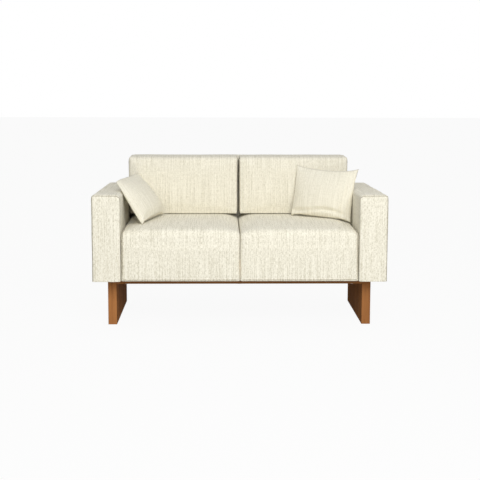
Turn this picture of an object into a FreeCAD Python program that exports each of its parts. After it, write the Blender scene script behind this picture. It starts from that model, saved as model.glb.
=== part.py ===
# Two-seat upholstered settee on a wooden base of two board legs and two rails.
# Millimetres, +X to the viewer's right, +Y to the rear, +Z up.
# The origin lies at floor level, under the middle of the settee's outer size.
import FreeCAD, Part
import Sketcher
import math
import os
from types import SimpleNamespace

from FreeCAD import Placement, Rotation, Vector

doc = FreeCAD.newDocument("settee")

# Driving sizes of the settee

SIZES = [
    ("overall_width", 1400, "outside of one arm to outside of the other"),
    ("overall_depth", 780, "front of the arms to their rear"),
    ("leg_height", 233, "floor to underside of the arms"),
    ("leg_thickness", 42, "board leg, left to right"),
    ("leg_end_inset", 113.5, "front of the arms to front of the legs, and so at the rear"),
    ("leg_inset", 63, "outside of an arm to outside of its leg"),
    ("leg_edge_round", 2, "radius on the board legs' upright edges"),
    ("glide_height", 3, "glide under a leg"),
    ("glide_diameter", 26, "glide under a leg"),
    ("glide_edge_distance", 45, "end of a leg to the middle of its end glides"),
    ("rail_height", 30, "base rail"),
    ("rail_thickness", 45, "base rail, front to rear"),
    ("tenon_length", 22, "tenon of a base rail in a leg"),
    ("tenon_height", 16, "tenon of a base rail in a leg"),
    ("tenon_thickness", 29, "tenon of a base rail in a leg"),
    ("tenon_clearance", 0.2, "tenon to its mortise"),
    ("rear_rail_inset", 42, "rear of the legs to the rear base rail"),
    ("base_bolt_diameter", 8, "bolt from base rail to seat frame"),
    ("base_bolt_grip", 40, "length of a base bolt inside the seat frame"),
    ("base_bolt_head_height", 4, "head of a base bolt"),
    ("hole_lead", 1, "how far a bolt hole's cut starts ahead of the board"),
    ("hole_overrun", 2, "how far a bolt hole runs past the bolt's end"),
    ("arm_width", 134, "arm, left to right"),
    ("arm_height", 648, "floor to top of an arm at its front"),
    ("arm_fall", 15, "how much lower the top of an arm is at its rear"),
    ("arm_outer_round", 16, "radius along the outer top edge of an arm"),
    ("arm_inner_round", 20, "radius along the inner top edge of an arm"),
    ("arm_end_round", 8, "radius round the front and rear of an arm"),
    ("arm_padding", 18, "foam on the inside and top of an arm"),
    ("arm_thin_padding", 8, "foam on the outside, front and rear of an arm"),
    ("arm_panel_thickness", 4, "boards that close the arm frame"),
    ("arm_post_depth", 45, "upright of the arm frame, front to rear"),
    ("arm_bottom_rail_height", 90, "bottom rail of the arm frame"),
    ("arm_top_rail_height", 25, "top rail of the arm frame"),
    ("seat_setback", 10, "front of the arms to front of the seat blocks"),
    ("seat_height", 494.5, "floor to the highest point of the seat"),
    ("seat_side_gap", 2, "seat block to arm"),
    ("seat_middle_gap", 2, "seat block to seat block"),
    ("seat_shoulder", 36, "radius along the front top edge of a seat block"),
    ("seat_end_round", 18, "radius round the end of a seat block beside its arm"),
    ("seat_seam_round", 7, "radius round the end of a seat block at the middle seam"),
    ("seat_fall", 16, "how much lower the seat is at a block's ends"),
    ("seat_fall_reach", 125, "length over which the seat falls to a block's end"),
    ("seat_rise", 8, "crown of the seat from front to rear"),
    ("seat_front_padding", 18, "foam in front of the seat frame"),
    ("beam_height", 96, "beams of the seat frame"),
    ("beam_thickness", 25, "beams of the seat frame"),
    ("dust_cover_thickness", 1, "cloth under the seat frame"),
    ("springs_per_seat", 5, "sinuous springs under a seat"),
    ("spring_wire", 4, "wire of a spring"),
    ("spring_width", 48, "spring, side to side"),
    ("spring_pitch", 48, "one full wave of a spring"),
    ("spring_clip_height", 7.5, "clip that holds a spring's end"),
    ("spring_clip_depth", 14, "clip that holds a spring's end"),
    ("felt_thickness", 4, "felt over the springs"),
    ("back_depth", 128, "fixed back, front to rear"),
    ("back_inset", 12, "rear of the arms to rear of the back"),
    ("back_height", 787, "floor to top of the fixed back"),
    ("back_round", 22, "radius along the top edges of the back"),
    ("back_end_round", 9, "radius round the ends of the back"),
    ("back_padding", 40, "foam in front of the back frame"),
    ("back_top_padding", 15, "foam over the back frame"),
    ("back_end_padding", 9, "foam over the ends of the back frame"),
    ("back_post_width", 28, "upright of the back frame, left to right"),
    ("back_rail_height", 55, "top rail of the back frame"),
    ("back_rail_thickness", 25, "rails of the back frame, front to rear"),
    ("back_panel_thickness", 3, "board behind the back frame"),
    ("webbing_bands", 8, "elastic bands of the back"),
    ("webbing_width", 50, "one elastic band"),
    ("webbing_thickness", 1.5, "one elastic band"),
    ("frame_bolt_diameter", 8, "bolt from arm to seat frame or back"),
    ("frame_bolt_grip", 40, "length of a frame bolt inside the arm frame"),
    ("frame_bolt_head_height", 5, "head of a frame bolt"),
    ("seat_bolt_inset", 45, "front or rear beam to the nearest bolt of a seat's side"),
    ("back_bolt_rise", 90, "seat frame to the lower bolt of the back, and on to the upper one"),
    ("bolt_clearance", 0.5, "bolt to the side of its hole"),
    ("cushion_thickness", 156, "back cushion at its edge, front to rear"),
    ("cushion_top", 793, "floor to top of a back cushion"),
    ("cushion_side_gap", 0.5, "back cushion to arm"),
    ("cushion_middle_gap", 8, "back cushion to back cushion"),
    ("cushion_round", 14, "radius round the edges of a back cushion"),
    ("cushion_crown", 8, "how far a back cushion's front swells"),
    ("cushion_least_swell", 0.2, "how far a back cushion's front swells at its ends"),
    ("cushion_zip_length", 400, "zip in the rear of a back cushion"),
    ("cushion_zip_width", 8, "zip in the rear of a back cushion"),
    ("pillow_width", 332, "throw pillow, corner to corner along its long side"),
    ("pillow_height", 254, "throw pillow, corner to corner along its short side"),
    ("pillow_draw", 11, "how far a pillow's sides draw in between corners"),
    ("pillow_front_depth", 48, "seam to the front of a pillow"),
    ("pillow_rear_depth", 40, "seam to the rear of a pillow, where it leans"),
    ("pillow_zip_length", 200, "zip in the lower seam of a pillow"),
    ("pillow_zip_width", 6, "zip in the lower seam of a pillow"),
    ("pillow_zip_thickness", 2.4, "zip in the lower seam of a pillow"),
    ("pillow_zip_inset", 0.5, "lower seam of a pillow to the edge of its zip"),
    ("cover_thickness", 2, "sewn cover with its wadding"),
    ("soft_clearance", 0.4, "between soft pieces that lie together"),
]

# Places worked out from the driving sizes

PLACES = [
    ("front", "-sizes.overall_depth / 2", "front of the arms"),
    ("rear", "sizes.overall_depth / 2", "rear of the arms"),
    ("arm_outer", "sizes.overall_width / 2", "outside of an arm"),
    ("arm_inner", "places.arm_outer - sizes.arm_width", "inside of an arm"),
    ("cover_depth", "sizes.cover_thickness + sizes.soft_clearance", "face to foam"),
    ("arm_frame_inner", "places.arm_inner + places.cover_depth + sizes.arm_padding", ""),
    ("arm_frame_outer", "places.arm_outer - places.cover_depth - sizes.arm_thin_padding", ""),
    ("arm_frame_front", "places.front + places.cover_depth + sizes.arm_thin_padding", ""),
    ("arm_frame_rear", "places.rear - places.cover_depth - sizes.arm_thin_padding", ""),
    ("arm_frame_top",
     "sizes.arm_height - sizes.arm_fall - places.cover_depth - sizes.arm_padding", ""),
    ("arm_core_inner", "places.arm_frame_inner + sizes.arm_panel_thickness", ""),
    ("arm_core_outer", "places.arm_frame_outer - sizes.arm_panel_thickness", ""),
    ("arm_bottom_rail_top", "sizes.leg_height + sizes.arm_bottom_rail_height", ""),
    ("arm_top_rail_bottom", "places.arm_frame_top - sizes.arm_top_rail_height", ""),
    ("leg_outer", "places.arm_outer - sizes.leg_inset", "outside of a leg"),
    ("leg_inner", "places.leg_outer - sizes.leg_thickness", "inside of a leg"),
    ("leg_front", "places.front + sizes.leg_end_inset", "front of a leg"),
    ("leg_depth", "-2 * places.leg_front", "board leg, front to rear"),
    ("rail_bottom", "sizes.leg_height - sizes.rail_height", "underside of a base rail"),
    ("front_rail_front", "places.leg_front", "front of the front base rail"),
    ("rear_rail_front",
     "-places.leg_front - sizes.rear_rail_inset - sizes.rail_thickness", ""),
    ("seat_front", "places.front + sizes.seat_setback", "front of the seat blocks"),
    ("seat_outer", "places.arm_inner - sizes.seat_side_gap", "outer end of a seat block"),
    ("seat_inner", "sizes.seat_middle_gap / 2", "inner end of a seat block"),
    ("back_rear", "places.rear - sizes.back_inset", "rear of the back"),
    ("back_front", "places.back_rear - sizes.back_depth", "front of the fixed back"),
    ("seat_rear", "places.back_front - sizes.soft_clearance", "rear of the seat blocks"),
    ("beam_bottom", "sizes.leg_height + sizes.dust_cover_thickness", "top of the dust cover"),
    ("beam_top", "places.beam_bottom + sizes.beam_height", ""),
    ("beam_outer", "places.seat_outer - places.cover_depth", ""),
    ("beam_inner", "places.beam_outer - sizes.beam_thickness", ""),
    ("beam_front", "places.seat_front + places.cover_depth + sizes.seat_front_padding", ""),
    ("beam_rear", "places.seat_rear - places.cover_depth", ""),
    ("felt_bottom", "places.beam_top + sizes.spring_clip_height", ""),
    ("felt_top", "places.felt_bottom + sizes.felt_thickness", ""),
    ("back_outer", "places.arm_inner - sizes.soft_clearance", "end of the back"),
    ("back_frame_outer", "places.back_outer - places.cover_depth - sizes.back_end_padding", ""),
    ("back_post_inner", "places.back_frame_outer - sizes.back_post_width", ""),
    ("back_foam_rear", "places.back_front + places.cover_depth + sizes.back_padding", ""),
    ("back_frame_front", "places.back_foam_rear + sizes.webbing_thickness", ""),
    ("back_panel_rear", "places.back_rear - places.cover_depth", ""),
    ("back_frame_rear", "places.back_panel_rear - sizes.back_panel_thickness", ""),
    ("back_frame_top", "sizes.back_height - places.cover_depth - sizes.back_top_padding", ""),
    ("back_top_rail_bottom", "places.back_frame_top - sizes.back_rail_height", ""),
    ("back_panel_top", "sizes.back_height - places.cover_depth - sizes.back_round", ""),
    ("back_rail_rear", "places.back_frame_front + sizes.back_rail_thickness", ""),
    ("cushion_bottom", "sizes.seat_height + sizes.soft_clearance", ""),
    ("cushion_rear", "places.back_front - sizes.soft_clearance", ""),
    ("cushion_front", "places.cushion_rear - sizes.cushion_thickness", ""),
    ("cushion_outer", "places.arm_inner - sizes.cushion_side_gap", ""),
    ("cushion_inner", "sizes.cushion_middle_gap / 2", ""),
    ("bolt_hole_radius", "sizes.frame_bolt_diameter / 2 + sizes.bolt_clearance", ""),
    ("base_bolt_hole_radius", "sizes.base_bolt_diameter / 2 + sizes.bolt_clearance", ""),
]


def make_sheet(name, rows, prefix=""):
    """A sheet with one row for each size: its meaning, and its value under an alias."""
    sheet = doc.addObject("Spreadsheet::Sheet", name)
    for row, (alias, content, meaning) in enumerate(rows, start=1):
        sheet.set(f"A{row}", meaning or alias.replace("_", " "))
        sheet.setAlias(f"B{row}", alias)
        sheet.set(f"B{row}", prefix + str(content))
    doc.recompute()
    return SimpleNamespace(**{alias: float(sheet.get(alias)) for alias, _, _ in rows})


size = make_sheet("sizes", SIZES)
place = make_sheet("places", [(alias, text.replace("places.", ""), meaning)
                              for alias, text, meaning in PLACES], prefix="=")

SIDES = (("left", -1), ("right", 1))
nodes = []


# Helpers: boards, rods and groups whose sizes are bound to the sheets

def keep(piece, label):
    """Counts a finished object as one of the settee's pieces."""
    piece.Label = label
    nodes.append(piece)
    return piece


def span(side, inner, outer):
    """The low and high end, as expressions, of a piece that lies on one side."""
    return (inner, outer) if side > 0 else (f"-({outer})", f"-({inner})")


def board(name, x, y, z):
    """A rectangular piece between three pairs of expressions."""
    box = doc.addObject("Part::Box", name)
    for measure, axis, (low, high) in zip(("Length", "Width", "Height"), "xyz", (x, y, z)):
        box.setExpression(measure, f"({high}) - ({low})")
        box.setExpression(f".Placement.Base.{axis}", low)
    return box


def rod(name, start, length, radius, turn=None):
    """A cylinder from a start point, upright or turned to lie along another axis."""
    cylinder = doc.addObject("Part::Cylinder", name)
    if turn:
        cylinder.Placement = Placement(Vector(), turn)
    cylinder.setExpression("Radius", radius)
    cylinder.setExpression("Height", length)
    for axis, expression in zip("xyz", start):
        cylinder.setExpression(f".Placement.Base.{axis}", expression)
    return cylinder


def group(name, members):
    """Separate solids held as one object."""
    compound = doc.addObject("Part::Compound", name)
    compound.Links = members
    return compound


def drilled(name, blank, holes):
    """A piece with the holes of its fasteners cut out."""
    cut = doc.addObject("Part::Cut", name)
    cut.Base = blank
    cut.Tool = holes
    return cut


def soft_piece(name, shape):
    """A sewn or foamed form, worked out from the sheets by the functions below."""
    feature = doc.addObject("Part::Feature", name)
    feature.Shape = shape
    return keep(feature, name)


TO_THE_RIGHT = Rotation(Vector(0, 1, 0), 90)
TO_THE_LEFT = Rotation(Vector(0, 1, 0), -90)


# Fasteners: bolts up through the base rails, and sideways into the arms

BASE_BOLT_COLUMNS = ("-(places.beam_outer + places.beam_inner) / 2", "0",
                     "(places.beam_outer + places.beam_inner) / 2")
BASE_BOLT_ROWS = ("places.front_rail_front + sizes.rail_thickness / 2",
                  "places.rear_rail_front + sizes.rail_thickness / 2")
SEAT_BOLT_HEIGHT = "places.beam_bottom + sizes.beam_height / 2"
SEAT_BOLT_ROWS = ("places.beam_front + sizes.beam_thickness + sizes.seat_bolt_inset",
                  "(places.beam_front + places.beam_rear) / 2",
                  "places.beam_rear - sizes.beam_thickness - sizes.seat_bolt_inset")
BACK_BOLT_ROW = "(places.arm_frame_rear - sizes.arm_post_depth + places.back_frame_rear) / 2"
BACK_BOLT_HEIGHTS = ("places.beam_top + sizes.back_bolt_rise",
                     "places.beam_top + 2 * sizes.back_bolt_rise")


def base_bolt(name, column, row):
    """A bolt up through a base rail: its head lies under the rail."""
    head = rod(name + "_head", (column, row, "places.rail_bottom - sizes.base_bolt_head_height"),
               "sizes.base_bolt_head_height", "sizes.base_bolt_diameter")
    shank = rod(name + "_shank", (column, row, "places.rail_bottom"),
                "sizes.rail_height + sizes.base_bolt_grip", "sizes.base_bolt_diameter / 2")
    bolt = doc.addObject("Part::MultiFuse", name)
    bolt.Shapes = [head, shank]
    return bolt


def base_bolt_hole(name, column, row):
    """The hole of a base bolt above its rail, a little longer than the bolt."""
    return rod(name, (column, row, "sizes.leg_height - sizes.hole_lead"),
               "sizes.hole_lead + sizes.base_bolt_grip + sizes.hole_overrun",
               "places.base_bolt_hole_radius")


def frame_bolt(name, side, under_head, row, height):
    """A bolt sideways into an arm: its head lies against the inside of the frame."""
    turn = TO_THE_RIGHT if side > 0 else TO_THE_LEFT
    head = rod(name + "_head",
               (f"{side} * ({under_head} - sizes.frame_bolt_head_height)", row, height),
               "sizes.frame_bolt_head_height", "sizes.frame_bolt_diameter", turn)
    shank = rod(name + "_shank", (f"{side} * ({under_head})", row, height),
                f"places.arm_core_inner + sizes.frame_bolt_grip - ({under_head})",
                "sizes.frame_bolt_diameter / 2", turn)
    bolt = doc.addObject("Part::MultiFuse", name)
    bolt.Shapes = [head, shank]
    return bolt


def frame_bolt_hole(name, side, under_head, row, height):
    """The hole of a frame bolt, a little longer than its shank at both ends."""
    turn = TO_THE_RIGHT if side > 0 else TO_THE_LEFT
    return rod(name, (f"{side} * ({under_head} - sizes.hole_lead)", row, height),
               "places.arm_core_inner + sizes.frame_bolt_grip + sizes.hole_lead"
               f" + sizes.hole_overrun - ({under_head})",
               "places.bolt_hole_radius", turn)


keep(group("base_bolts", [base_bolt(f"base_bolt_{i}_{j}", column, row)
                          for i, column in enumerate(BASE_BOLT_COLUMNS)
                          for j, row in enumerate(BASE_BOLT_ROWS)]), "base_bolts")
base_holes = group("base_bolt_holes", [base_bolt_hole(f"base_hole_{i}_{j}", column, row)
                                       for i, column in enumerate(BASE_BOLT_COLUMNS)
                                       for j, row in enumerate(BASE_BOLT_ROWS)])

bolt_sites = [("places.beam_inner", row, SEAT_BOLT_HEIGHT) for row in SEAT_BOLT_ROWS]
bolt_sites += [("places.back_post_inner", BACK_BOLT_ROW, height) for height in BACK_BOLT_HEIGHTS]
keep(group("frame_bolts", [frame_bolt(f"frame_bolt_{name}_{i}", side, *site)
                           for name, side in SIDES
                           for i, site in enumerate(bolt_sites)]), "frame_bolts")
frame_holes = {side: group(f"frame_bolt_holes_{name}",
                           [frame_bolt_hole(f"frame_hole_{name}_{i}", side, *site)
                            for i, site in enumerate(bolt_sites)])
               for name, side in SIDES}
side_beam_holes = {side: group(f"side_beam_holes_{name}", [base_holes, frame_holes[side]])
                   for name, side in SIDES}


# Base: two board legs, joined by two rails with tenons, on glides

def rectangle(body, name, width, height, left="0", bottom="0"):
    """A rectangle in the body's own YZ plane, bound to expressions."""
    sketch = body.newObject("Sketcher::SketchObject", name)
    plane = next(item for item in body.Origin.OriginFeatures if item.Role == "YZ_Plane")
    sketch.AttachmentSupport = [(plane, "")]
    sketch.MapMode = "FlatFace"
    corners = [Vector(1, 1, 0), Vector(5, 1, 0), Vector(5, 5, 0), Vector(1, 5, 0)]
    for start, end in zip(corners, corners[1:] + corners[:1]):
        sketch.addGeometry(Part.LineSegment(start, end), False)
    for edge in range(4):
        sketch.addConstraint(Sketcher.Constraint("Coincident", edge, 2, (edge + 1) % 4, 1))
    for edge, kind in enumerate(("Horizontal", "Vertical", "Horizontal", "Vertical")):
        sketch.addConstraint(Sketcher.Constraint(kind, edge))
    measures = (("DistanceX", 0, 1, 0, 2, width), ("DistanceY", 1, 1, 1, 2, height))
    for kind, edge, point, other, end, expression in measures:
        index = sketch.addConstraint(Sketcher.Constraint(kind, edge, point, other, end, 4))
        sketch.setExpression(f"Constraints[{index}]", expression)
    for kind, expression in (("DistanceX", left), ("DistanceY", bottom)):
        if expression == "0":
            on_axis = -2 if kind == "DistanceX" else -1
            sketch.addConstraint(Sketcher.Constraint("PointOnObject", 0, 1, on_axis))
        else:
            index = sketch.addConstraint(Sketcher.Constraint(kind, -1, 1, 0, 1, 1))
            sketch.setExpression(f"Constraints[{index}]", expression)
    return sketch


def leg_panel(name, side):
    """An upright board: rounded upright edges, and a mortise for each rail's tenon."""
    body = doc.addObject("PartDesign::Body", name)
    blank = body.newObject("PartDesign::Pad", name + "_blank")
    blank.Profile = rectangle(body, name + "_outline", "places.leg_depth",
                              "sizes.leg_height - sizes.glide_height")
    blank.setExpression("Length", "sizes.leg_thickness")
    doc.recompute()
    upright = [f"Edge{i}" for i, edge in enumerate(blank.Shape.Edges, start=1)
               if abs(edge.tangentAt(edge.FirstParameter).z) > 0.99]
    rounding = body.newObject("PartDesign::Fillet", name + "_rounding")
    rounding.Base = (blank, upright)
    rounding.setExpression("Radius", "sizes.leg_edge_round")
    doc.recompute()
    solid_volume = rounding.Shape.Volume
    beside_tenon = "(sizes.rail_thickness - sizes.tenon_thickness) / 2 - sizes.tenon_clearance"
    mortise_bottom = ("sizes.leg_height - sizes.glide_height"
                      " - (sizes.rail_height + sizes.tenon_height) / 2 - sizes.tenon_clearance")
    for end in ("front", "rear"):
        rail_front = f"places.{end}_rail_front - places.leg_front"
        mortise = body.newObject("PartDesign::Pocket", f"{name}_{end}_mortise")
        outline = rectangle(body, f"{name}_{end}_mortise_outline",
                            "sizes.tenon_thickness + 2 * sizes.tenon_clearance",
                            "sizes.tenon_height + 2 * sizes.tenon_clearance",
                            f"{rail_front} + {beside_tenon}", mortise_bottom)
        mortise.Profile = outline
        if side > 0:
            mortise.Reversed = True
        else:
            outline.setExpression(".AttachmentOffset.Base.z", "sizes.leg_thickness")
        mortise.setExpression("Length", "sizes.tenon_length + sizes.tenon_clearance")
        body.Tip = mortise
    doc.recompute()
    tenon_volume = size.tenon_length * size.tenon_height * size.tenon_thickness
    if body.Shape.Volume > solid_volume - 2 * tenon_volume:
        raise ValueError(f"{name}: a mortise cuts nothing")
    return body


for name, side in SIDES:
    leg = keep(leg_panel(f"leg_panel_{name}", side), f"leg_panel_{name}")
    leg.setExpression(".Placement.Base.x", span(side, "places.leg_inner", "places.leg_outer")[0])
    leg.setExpression(".Placement.Base.y", "places.leg_front")
    leg.setExpression(".Placement.Base.z", "sizes.glide_height")
    glide_rows = ("places.leg_front + sizes.glide_edge_distance", "0",
                  "-places.leg_front - sizes.glide_edge_distance")
    glide_column = f"{side} * (places.leg_inner + places.leg_outer) / 2"
    keep(group(f"glides_{name}",
               [rod(f"glide_{name}_{i}", (glide_column, row, "0"),
                    "sizes.glide_height", "sizes.glide_diameter / 2")
                for i, row in enumerate(glide_rows)]), f"glides_{name}")


def base_rail(name):
    """A rail with a tenon at each end and a row of bolt holes."""
    body = doc.addObject("PartDesign::Body", name)
    core = body.newObject("PartDesign::Pad", name + "_core")
    core.Profile = rectangle(body, name + "_core_outline", "sizes.tenon_thickness",
                             "sizes.tenon_height",
                             "(sizes.rail_thickness - sizes.tenon_thickness) / 2",
                             "(sizes.rail_height - sizes.tenon_height) / 2")
    core.Midplane = True
    core.setExpression("Length", "2 * (places.leg_inner + sizes.tenon_length)")
    blank = body.newObject("PartDesign::Pad", name + "_blank")
    blank.Profile = rectangle(body, name + "_outline", "sizes.rail_thickness",
                              "sizes.rail_height")
    blank.Midplane = True
    blank.setExpression("Length", "2 * places.leg_inner")
    doc.recompute()
    volume = blank.Shape.Volume
    hole_sketch = body.newObject("Sketcher::SketchObject", name + "_hole_outline")
    plane = next(item for item in body.Origin.OriginFeatures if item.Role == "XY_Plane")
    hole_sketch.AttachmentSupport = [(plane, "")]
    hole_sketch.MapMode = "FlatFace"
    hole_sketch.addGeometry(Part.Circle(Vector(-5, 5, 0), Vector(0, 0, 1), 2), False)
    bindings = (("Radius", (0,), 2, "places.base_bolt_hole_radius"),
                ("DistanceX", (0, 3, -1, 1), 5, "(places.beam_outer + places.beam_inner) / 2"),
                ("DistanceY", (-1, 1, 0, 3), 5, "sizes.rail_thickness / 2"))
    for kind, target, value, expression in bindings:
        index = hole_sketch.addConstraint(Sketcher.Constraint(kind, *target, value))
        hole_sketch.setExpression(f"Constraints[{index}]", expression)
    hole = body.newObject("PartDesign::Pocket", name + "_hole")
    hole.Profile = hole_sketch
    hole.Reversed = True
    hole.setExpression("Length", "sizes.rail_height + 1")
    doc.recompute()
    holes = body.newObject("PartDesign::LinearPattern", name + "_holes")
    holes.Originals = [hole]
    holes.Direction = (hole_sketch, ["H_Axis"])
    holes.setExpression("Length", "places.beam_outer + places.beam_inner")
    holes.Occurrences = len(BASE_BOLT_COLUMNS)
    body.Tip = holes
    doc.recompute()
    cut = volume - body.Shape.Volume
    one_hole = math.pi * place.base_bolt_hole_radius ** 2 * size.rail_height
    if abs(cut - len(BASE_BOLT_COLUMNS) * one_hole) > 0.1 * one_hole:
        raise ValueError(f"{name}: its bolt holes are not all cut")
    return body


for end in ("front", "rear"):
    rail = keep(base_rail(f"base_{end}_rail"), f"base_{end}_rail")
    rail.setExpression(".Placement.Base.y", f"places.{end}_rail_front")
    rail.setExpression(".Placement.Base.z", "places.rail_bottom")


# Seat frame: a ring of beams, a centre beam, springs, clips, felt and dust cover

BEAM_Z = ("places.beam_bottom", "places.beam_top")
BETWEEN_BEAMS = ("places.beam_front + sizes.beam_thickness",
                 "places.beam_rear - sizes.beam_thickness")
FULL_BEAM = ("-places.beam_outer", "places.beam_outer")
keep(board("seat_front_beam", FULL_BEAM,
           ("places.beam_front", "places.beam_front + sizes.beam_thickness"), BEAM_Z),
     "seat_front_beam")
keep(board("seat_rear_beam", FULL_BEAM,
           ("places.beam_rear - sizes.beam_thickness", "places.beam_rear"), BEAM_Z),
     "seat_rear_beam")
centre = board("seat_centre_blank", ("-sizes.beam_thickness / 2", "sizes.beam_thickness / 2"),
               BETWEEN_BEAMS, BEAM_Z)
keep(drilled("seat_centre_beam", centre, base_holes), "seat_centre_beam")
for name, side in SIDES:
    blank = board(f"seat_side_blank_{name}", span(side, "places.beam_inner", "places.beam_outer"),
                  BETWEEN_BEAMS, BEAM_Z)
    keep(drilled(f"seat_side_beam_{name}", blank, side_beam_holes[side]),
         f"seat_side_beam_{name}")
cloth = board("dust_cover_blank", ("-places.seat_outer", "places.seat_outer"),
              ("places.seat_front + sizes.cover_thickness",
               "places.back_rear - sizes.cover_thickness"),
              ("sizes.leg_height", "places.beam_bottom"))
keep(drilled("dust_cover", cloth, base_holes), "dust_cover")
keep(board("deck_felt", FULL_BEAM, ("places.beam_front", "places.beam_rear"),
           ("places.felt_bottom", "places.felt_top")), "deck_felt")


def sinuous_path(x, front, rear, z):
    """The zigzag line of one spring: cross runs joined by half turns of two quarter arcs."""
    turns = max(2, int((rear - front) / (size.spring_pitch / 2)))
    pitch = (rear - front) / turns
    radius = pitch / 2
    half = size.spring_width / 2 - radius
    edges = []
    y = front
    direction = 1
    edges.append(Part.LineSegment(Vector(x - half, y, z), Vector(x + half, y, z)))
    for _ in range(turns):
        centre_point = Vector(x + direction * half, y + radius, z)
        slant = radius * math.sqrt(0.5)
        tip = centre_point + Vector(direction * radius, 0, 0)
        edges.append(Part.Arc(Vector(x + direction * half, y, z),
                              centre_point + Vector(direction * slant, -slant, 0), tip))
        edges.append(Part.Arc(tip, centre_point + Vector(direction * slant, slant, 0),
                              Vector(x + direction * half, y + pitch, z)))
        y += pitch
        edges.append(Part.LineSegment(Vector(x + direction * half, y, z),
                                      Vector(x - direction * half, y, z)))
        direction = -direction
    return Part.Wire([edge.toShape() for edge in edges])


def spring_columns(side):
    """The middle of each spring under one seat."""
    inner = size.beam_thickness / 2
    bay = (place.beam_inner - inner) / size.springs_per_seat
    return [side * (inner + bay * (i + 0.5)) for i in range(int(size.springs_per_seat))]


SPRING_Z = place.beam_top + size.spring_wire
SPRING_FRONT = place.beam_front + size.beam_thickness / 2
SPRING_REAR = place.beam_rear - size.beam_thickness / 2


def spring(x):
    """Bent wire, swept along its zigzag."""
    path = sinuous_path(x, SPRING_FRONT, SPRING_REAR, SPRING_Z)
    start = path.OrderedVertexes[0].Point
    profile = Part.Wire([Part.Circle(start, Vector(1, 0, 0), size.spring_wire / 2).toShape()])
    return path.makePipeShell([profile], True, False)


def spring_clip(x, y):
    """A clip on a beam, with an eye for the spring's end run."""
    width = size.spring_width / 2
    body = Part.makeBox(width, size.spring_clip_depth, size.spring_clip_height,
                        Vector(x - width / 2, y - size.spring_clip_depth / 2, place.beam_top))
    eye = Part.makeCylinder(size.spring_wire / 2 + size.soft_clearance, 2 * width,
                            Vector(x - width, y, SPRING_Z), Vector(1, 0, 0))
    return body.cut(eye)


clips = []
for name, side in SIDES:
    columns = spring_columns(side)
    soft_piece(f"springs_{name}", Part.makeCompound([spring(x) for x in columns]))
    clips += [spring_clip(x, y) for x in columns for y in (SPRING_FRONT, SPRING_REAR)]
soft_piece("spring_clips", Part.makeCompound(clips))


# Soft forms: closed rings of lines and arcs, joined by ruled lofts

def ring(points):
    """A closed wire through corner points; a point paired with a middle makes an arc."""
    edges = []
    count = len(points)
    for index, entry in enumerate(points):
        start, middle = entry
        end = points[(index + 1) % count][0]
        if middle is None:
            edges.append(Part.LineSegment(start, end).toShape())
        else:
            edges.append(Part.Arc(start, middle, end).toShape())
    return Part.Wire(edges)


def loft(rings):
    """A solid through a row of rings with the same number of edges."""
    solid = Part.makeLoft(rings, True, True)
    if solid.Volume < 0:
        solid.reverse()
    return solid


def quarter(centre_a, centre_b, radius, turn):
    """The middle of a rounded corner, as two coordinates, in the direction of turn."""
    slant = radius * math.sqrt(0.5)
    return centre_a + turn[0] * slant, centre_b + turn[1] * slant


def edge_inset(distance, radius):
    """How far a rounded end lies inside the full form, at a distance from the end."""
    if distance >= radius:
        return 0.0
    return radius - math.sqrt(radius ** 2 - (radius - distance) ** 2)


# Shares of an end's radius at which its rounded outline is drawn
END_STEPS = (0.08, 0.3, 0.6, 1.0)

# How far an inner form reaches past an open underside
PAST_FACE = 20.0


def arm_ring(y, inset, drop, end_inset):
    """The upright outline of an arm: flat inside and outside, rounded along its top."""
    slope = size.arm_fall / size.overall_depth
    top = size.arm_height - slope * (y - place.front) - inset - end_inset
    low = size.leg_height - drop
    inner = place.arm_inner + inset + end_inset
    outer = place.arm_outer - inset - end_inset
    inner_round = size.arm_inner_round - inset
    outer_round = size.arm_outer_round - inset
    ix, iz = quarter(inner + inner_round, top - inner_round, inner_round, (-1, 1))
    ox, oz = quarter(outer - outer_round, top - outer_round, outer_round, (1, 1))
    return ring([
        (Vector(inner, y, low), None),
        (Vector(inner, y, top - inner_round), Vector(ix, y, iz)),
        (Vector(inner + inner_round, y, top), None),
        (Vector(outer - outer_round, y, top), Vector(ox, y, oz)),
        (Vector(outer, y, top - outer_round), None),
        (Vector(outer, y, low), None),
    ])


def arm_form(inset, drop=0.0):
    """The right arm's outer form, drawn in by an inset and let down below by a drop."""
    radius = size.arm_end_round
    steps = [step * radius for step in END_STEPS]
    front, rear = place.front + inset, place.rear - inset
    rows = [(front + step - steps[0], step) for step in steps]
    rows += [(rear - step + steps[0], step) for step in reversed(steps)]
    return loft([arm_ring(y, inset, drop, edge_inset(step, radius)) for y, step in rows])


def block(x, y, z):
    """A plain box between three pairs of numbers."""
    return Part.makeBox(x[1] - x[0], y[1] - y[0], z[1] - z[0], Vector(x[0], y[0], z[0]))


arm_cover_shape = arm_form(0.0).cut(arm_form(size.cover_thickness, drop=PAST_FACE))
arm_core = block((place.arm_frame_inner, place.arm_frame_outer),
                 (place.arm_frame_front, place.arm_frame_rear),
                 (0, place.arm_frame_top))
arm_foam_shape = arm_form(place.cover_depth).cut(arm_core)

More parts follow.
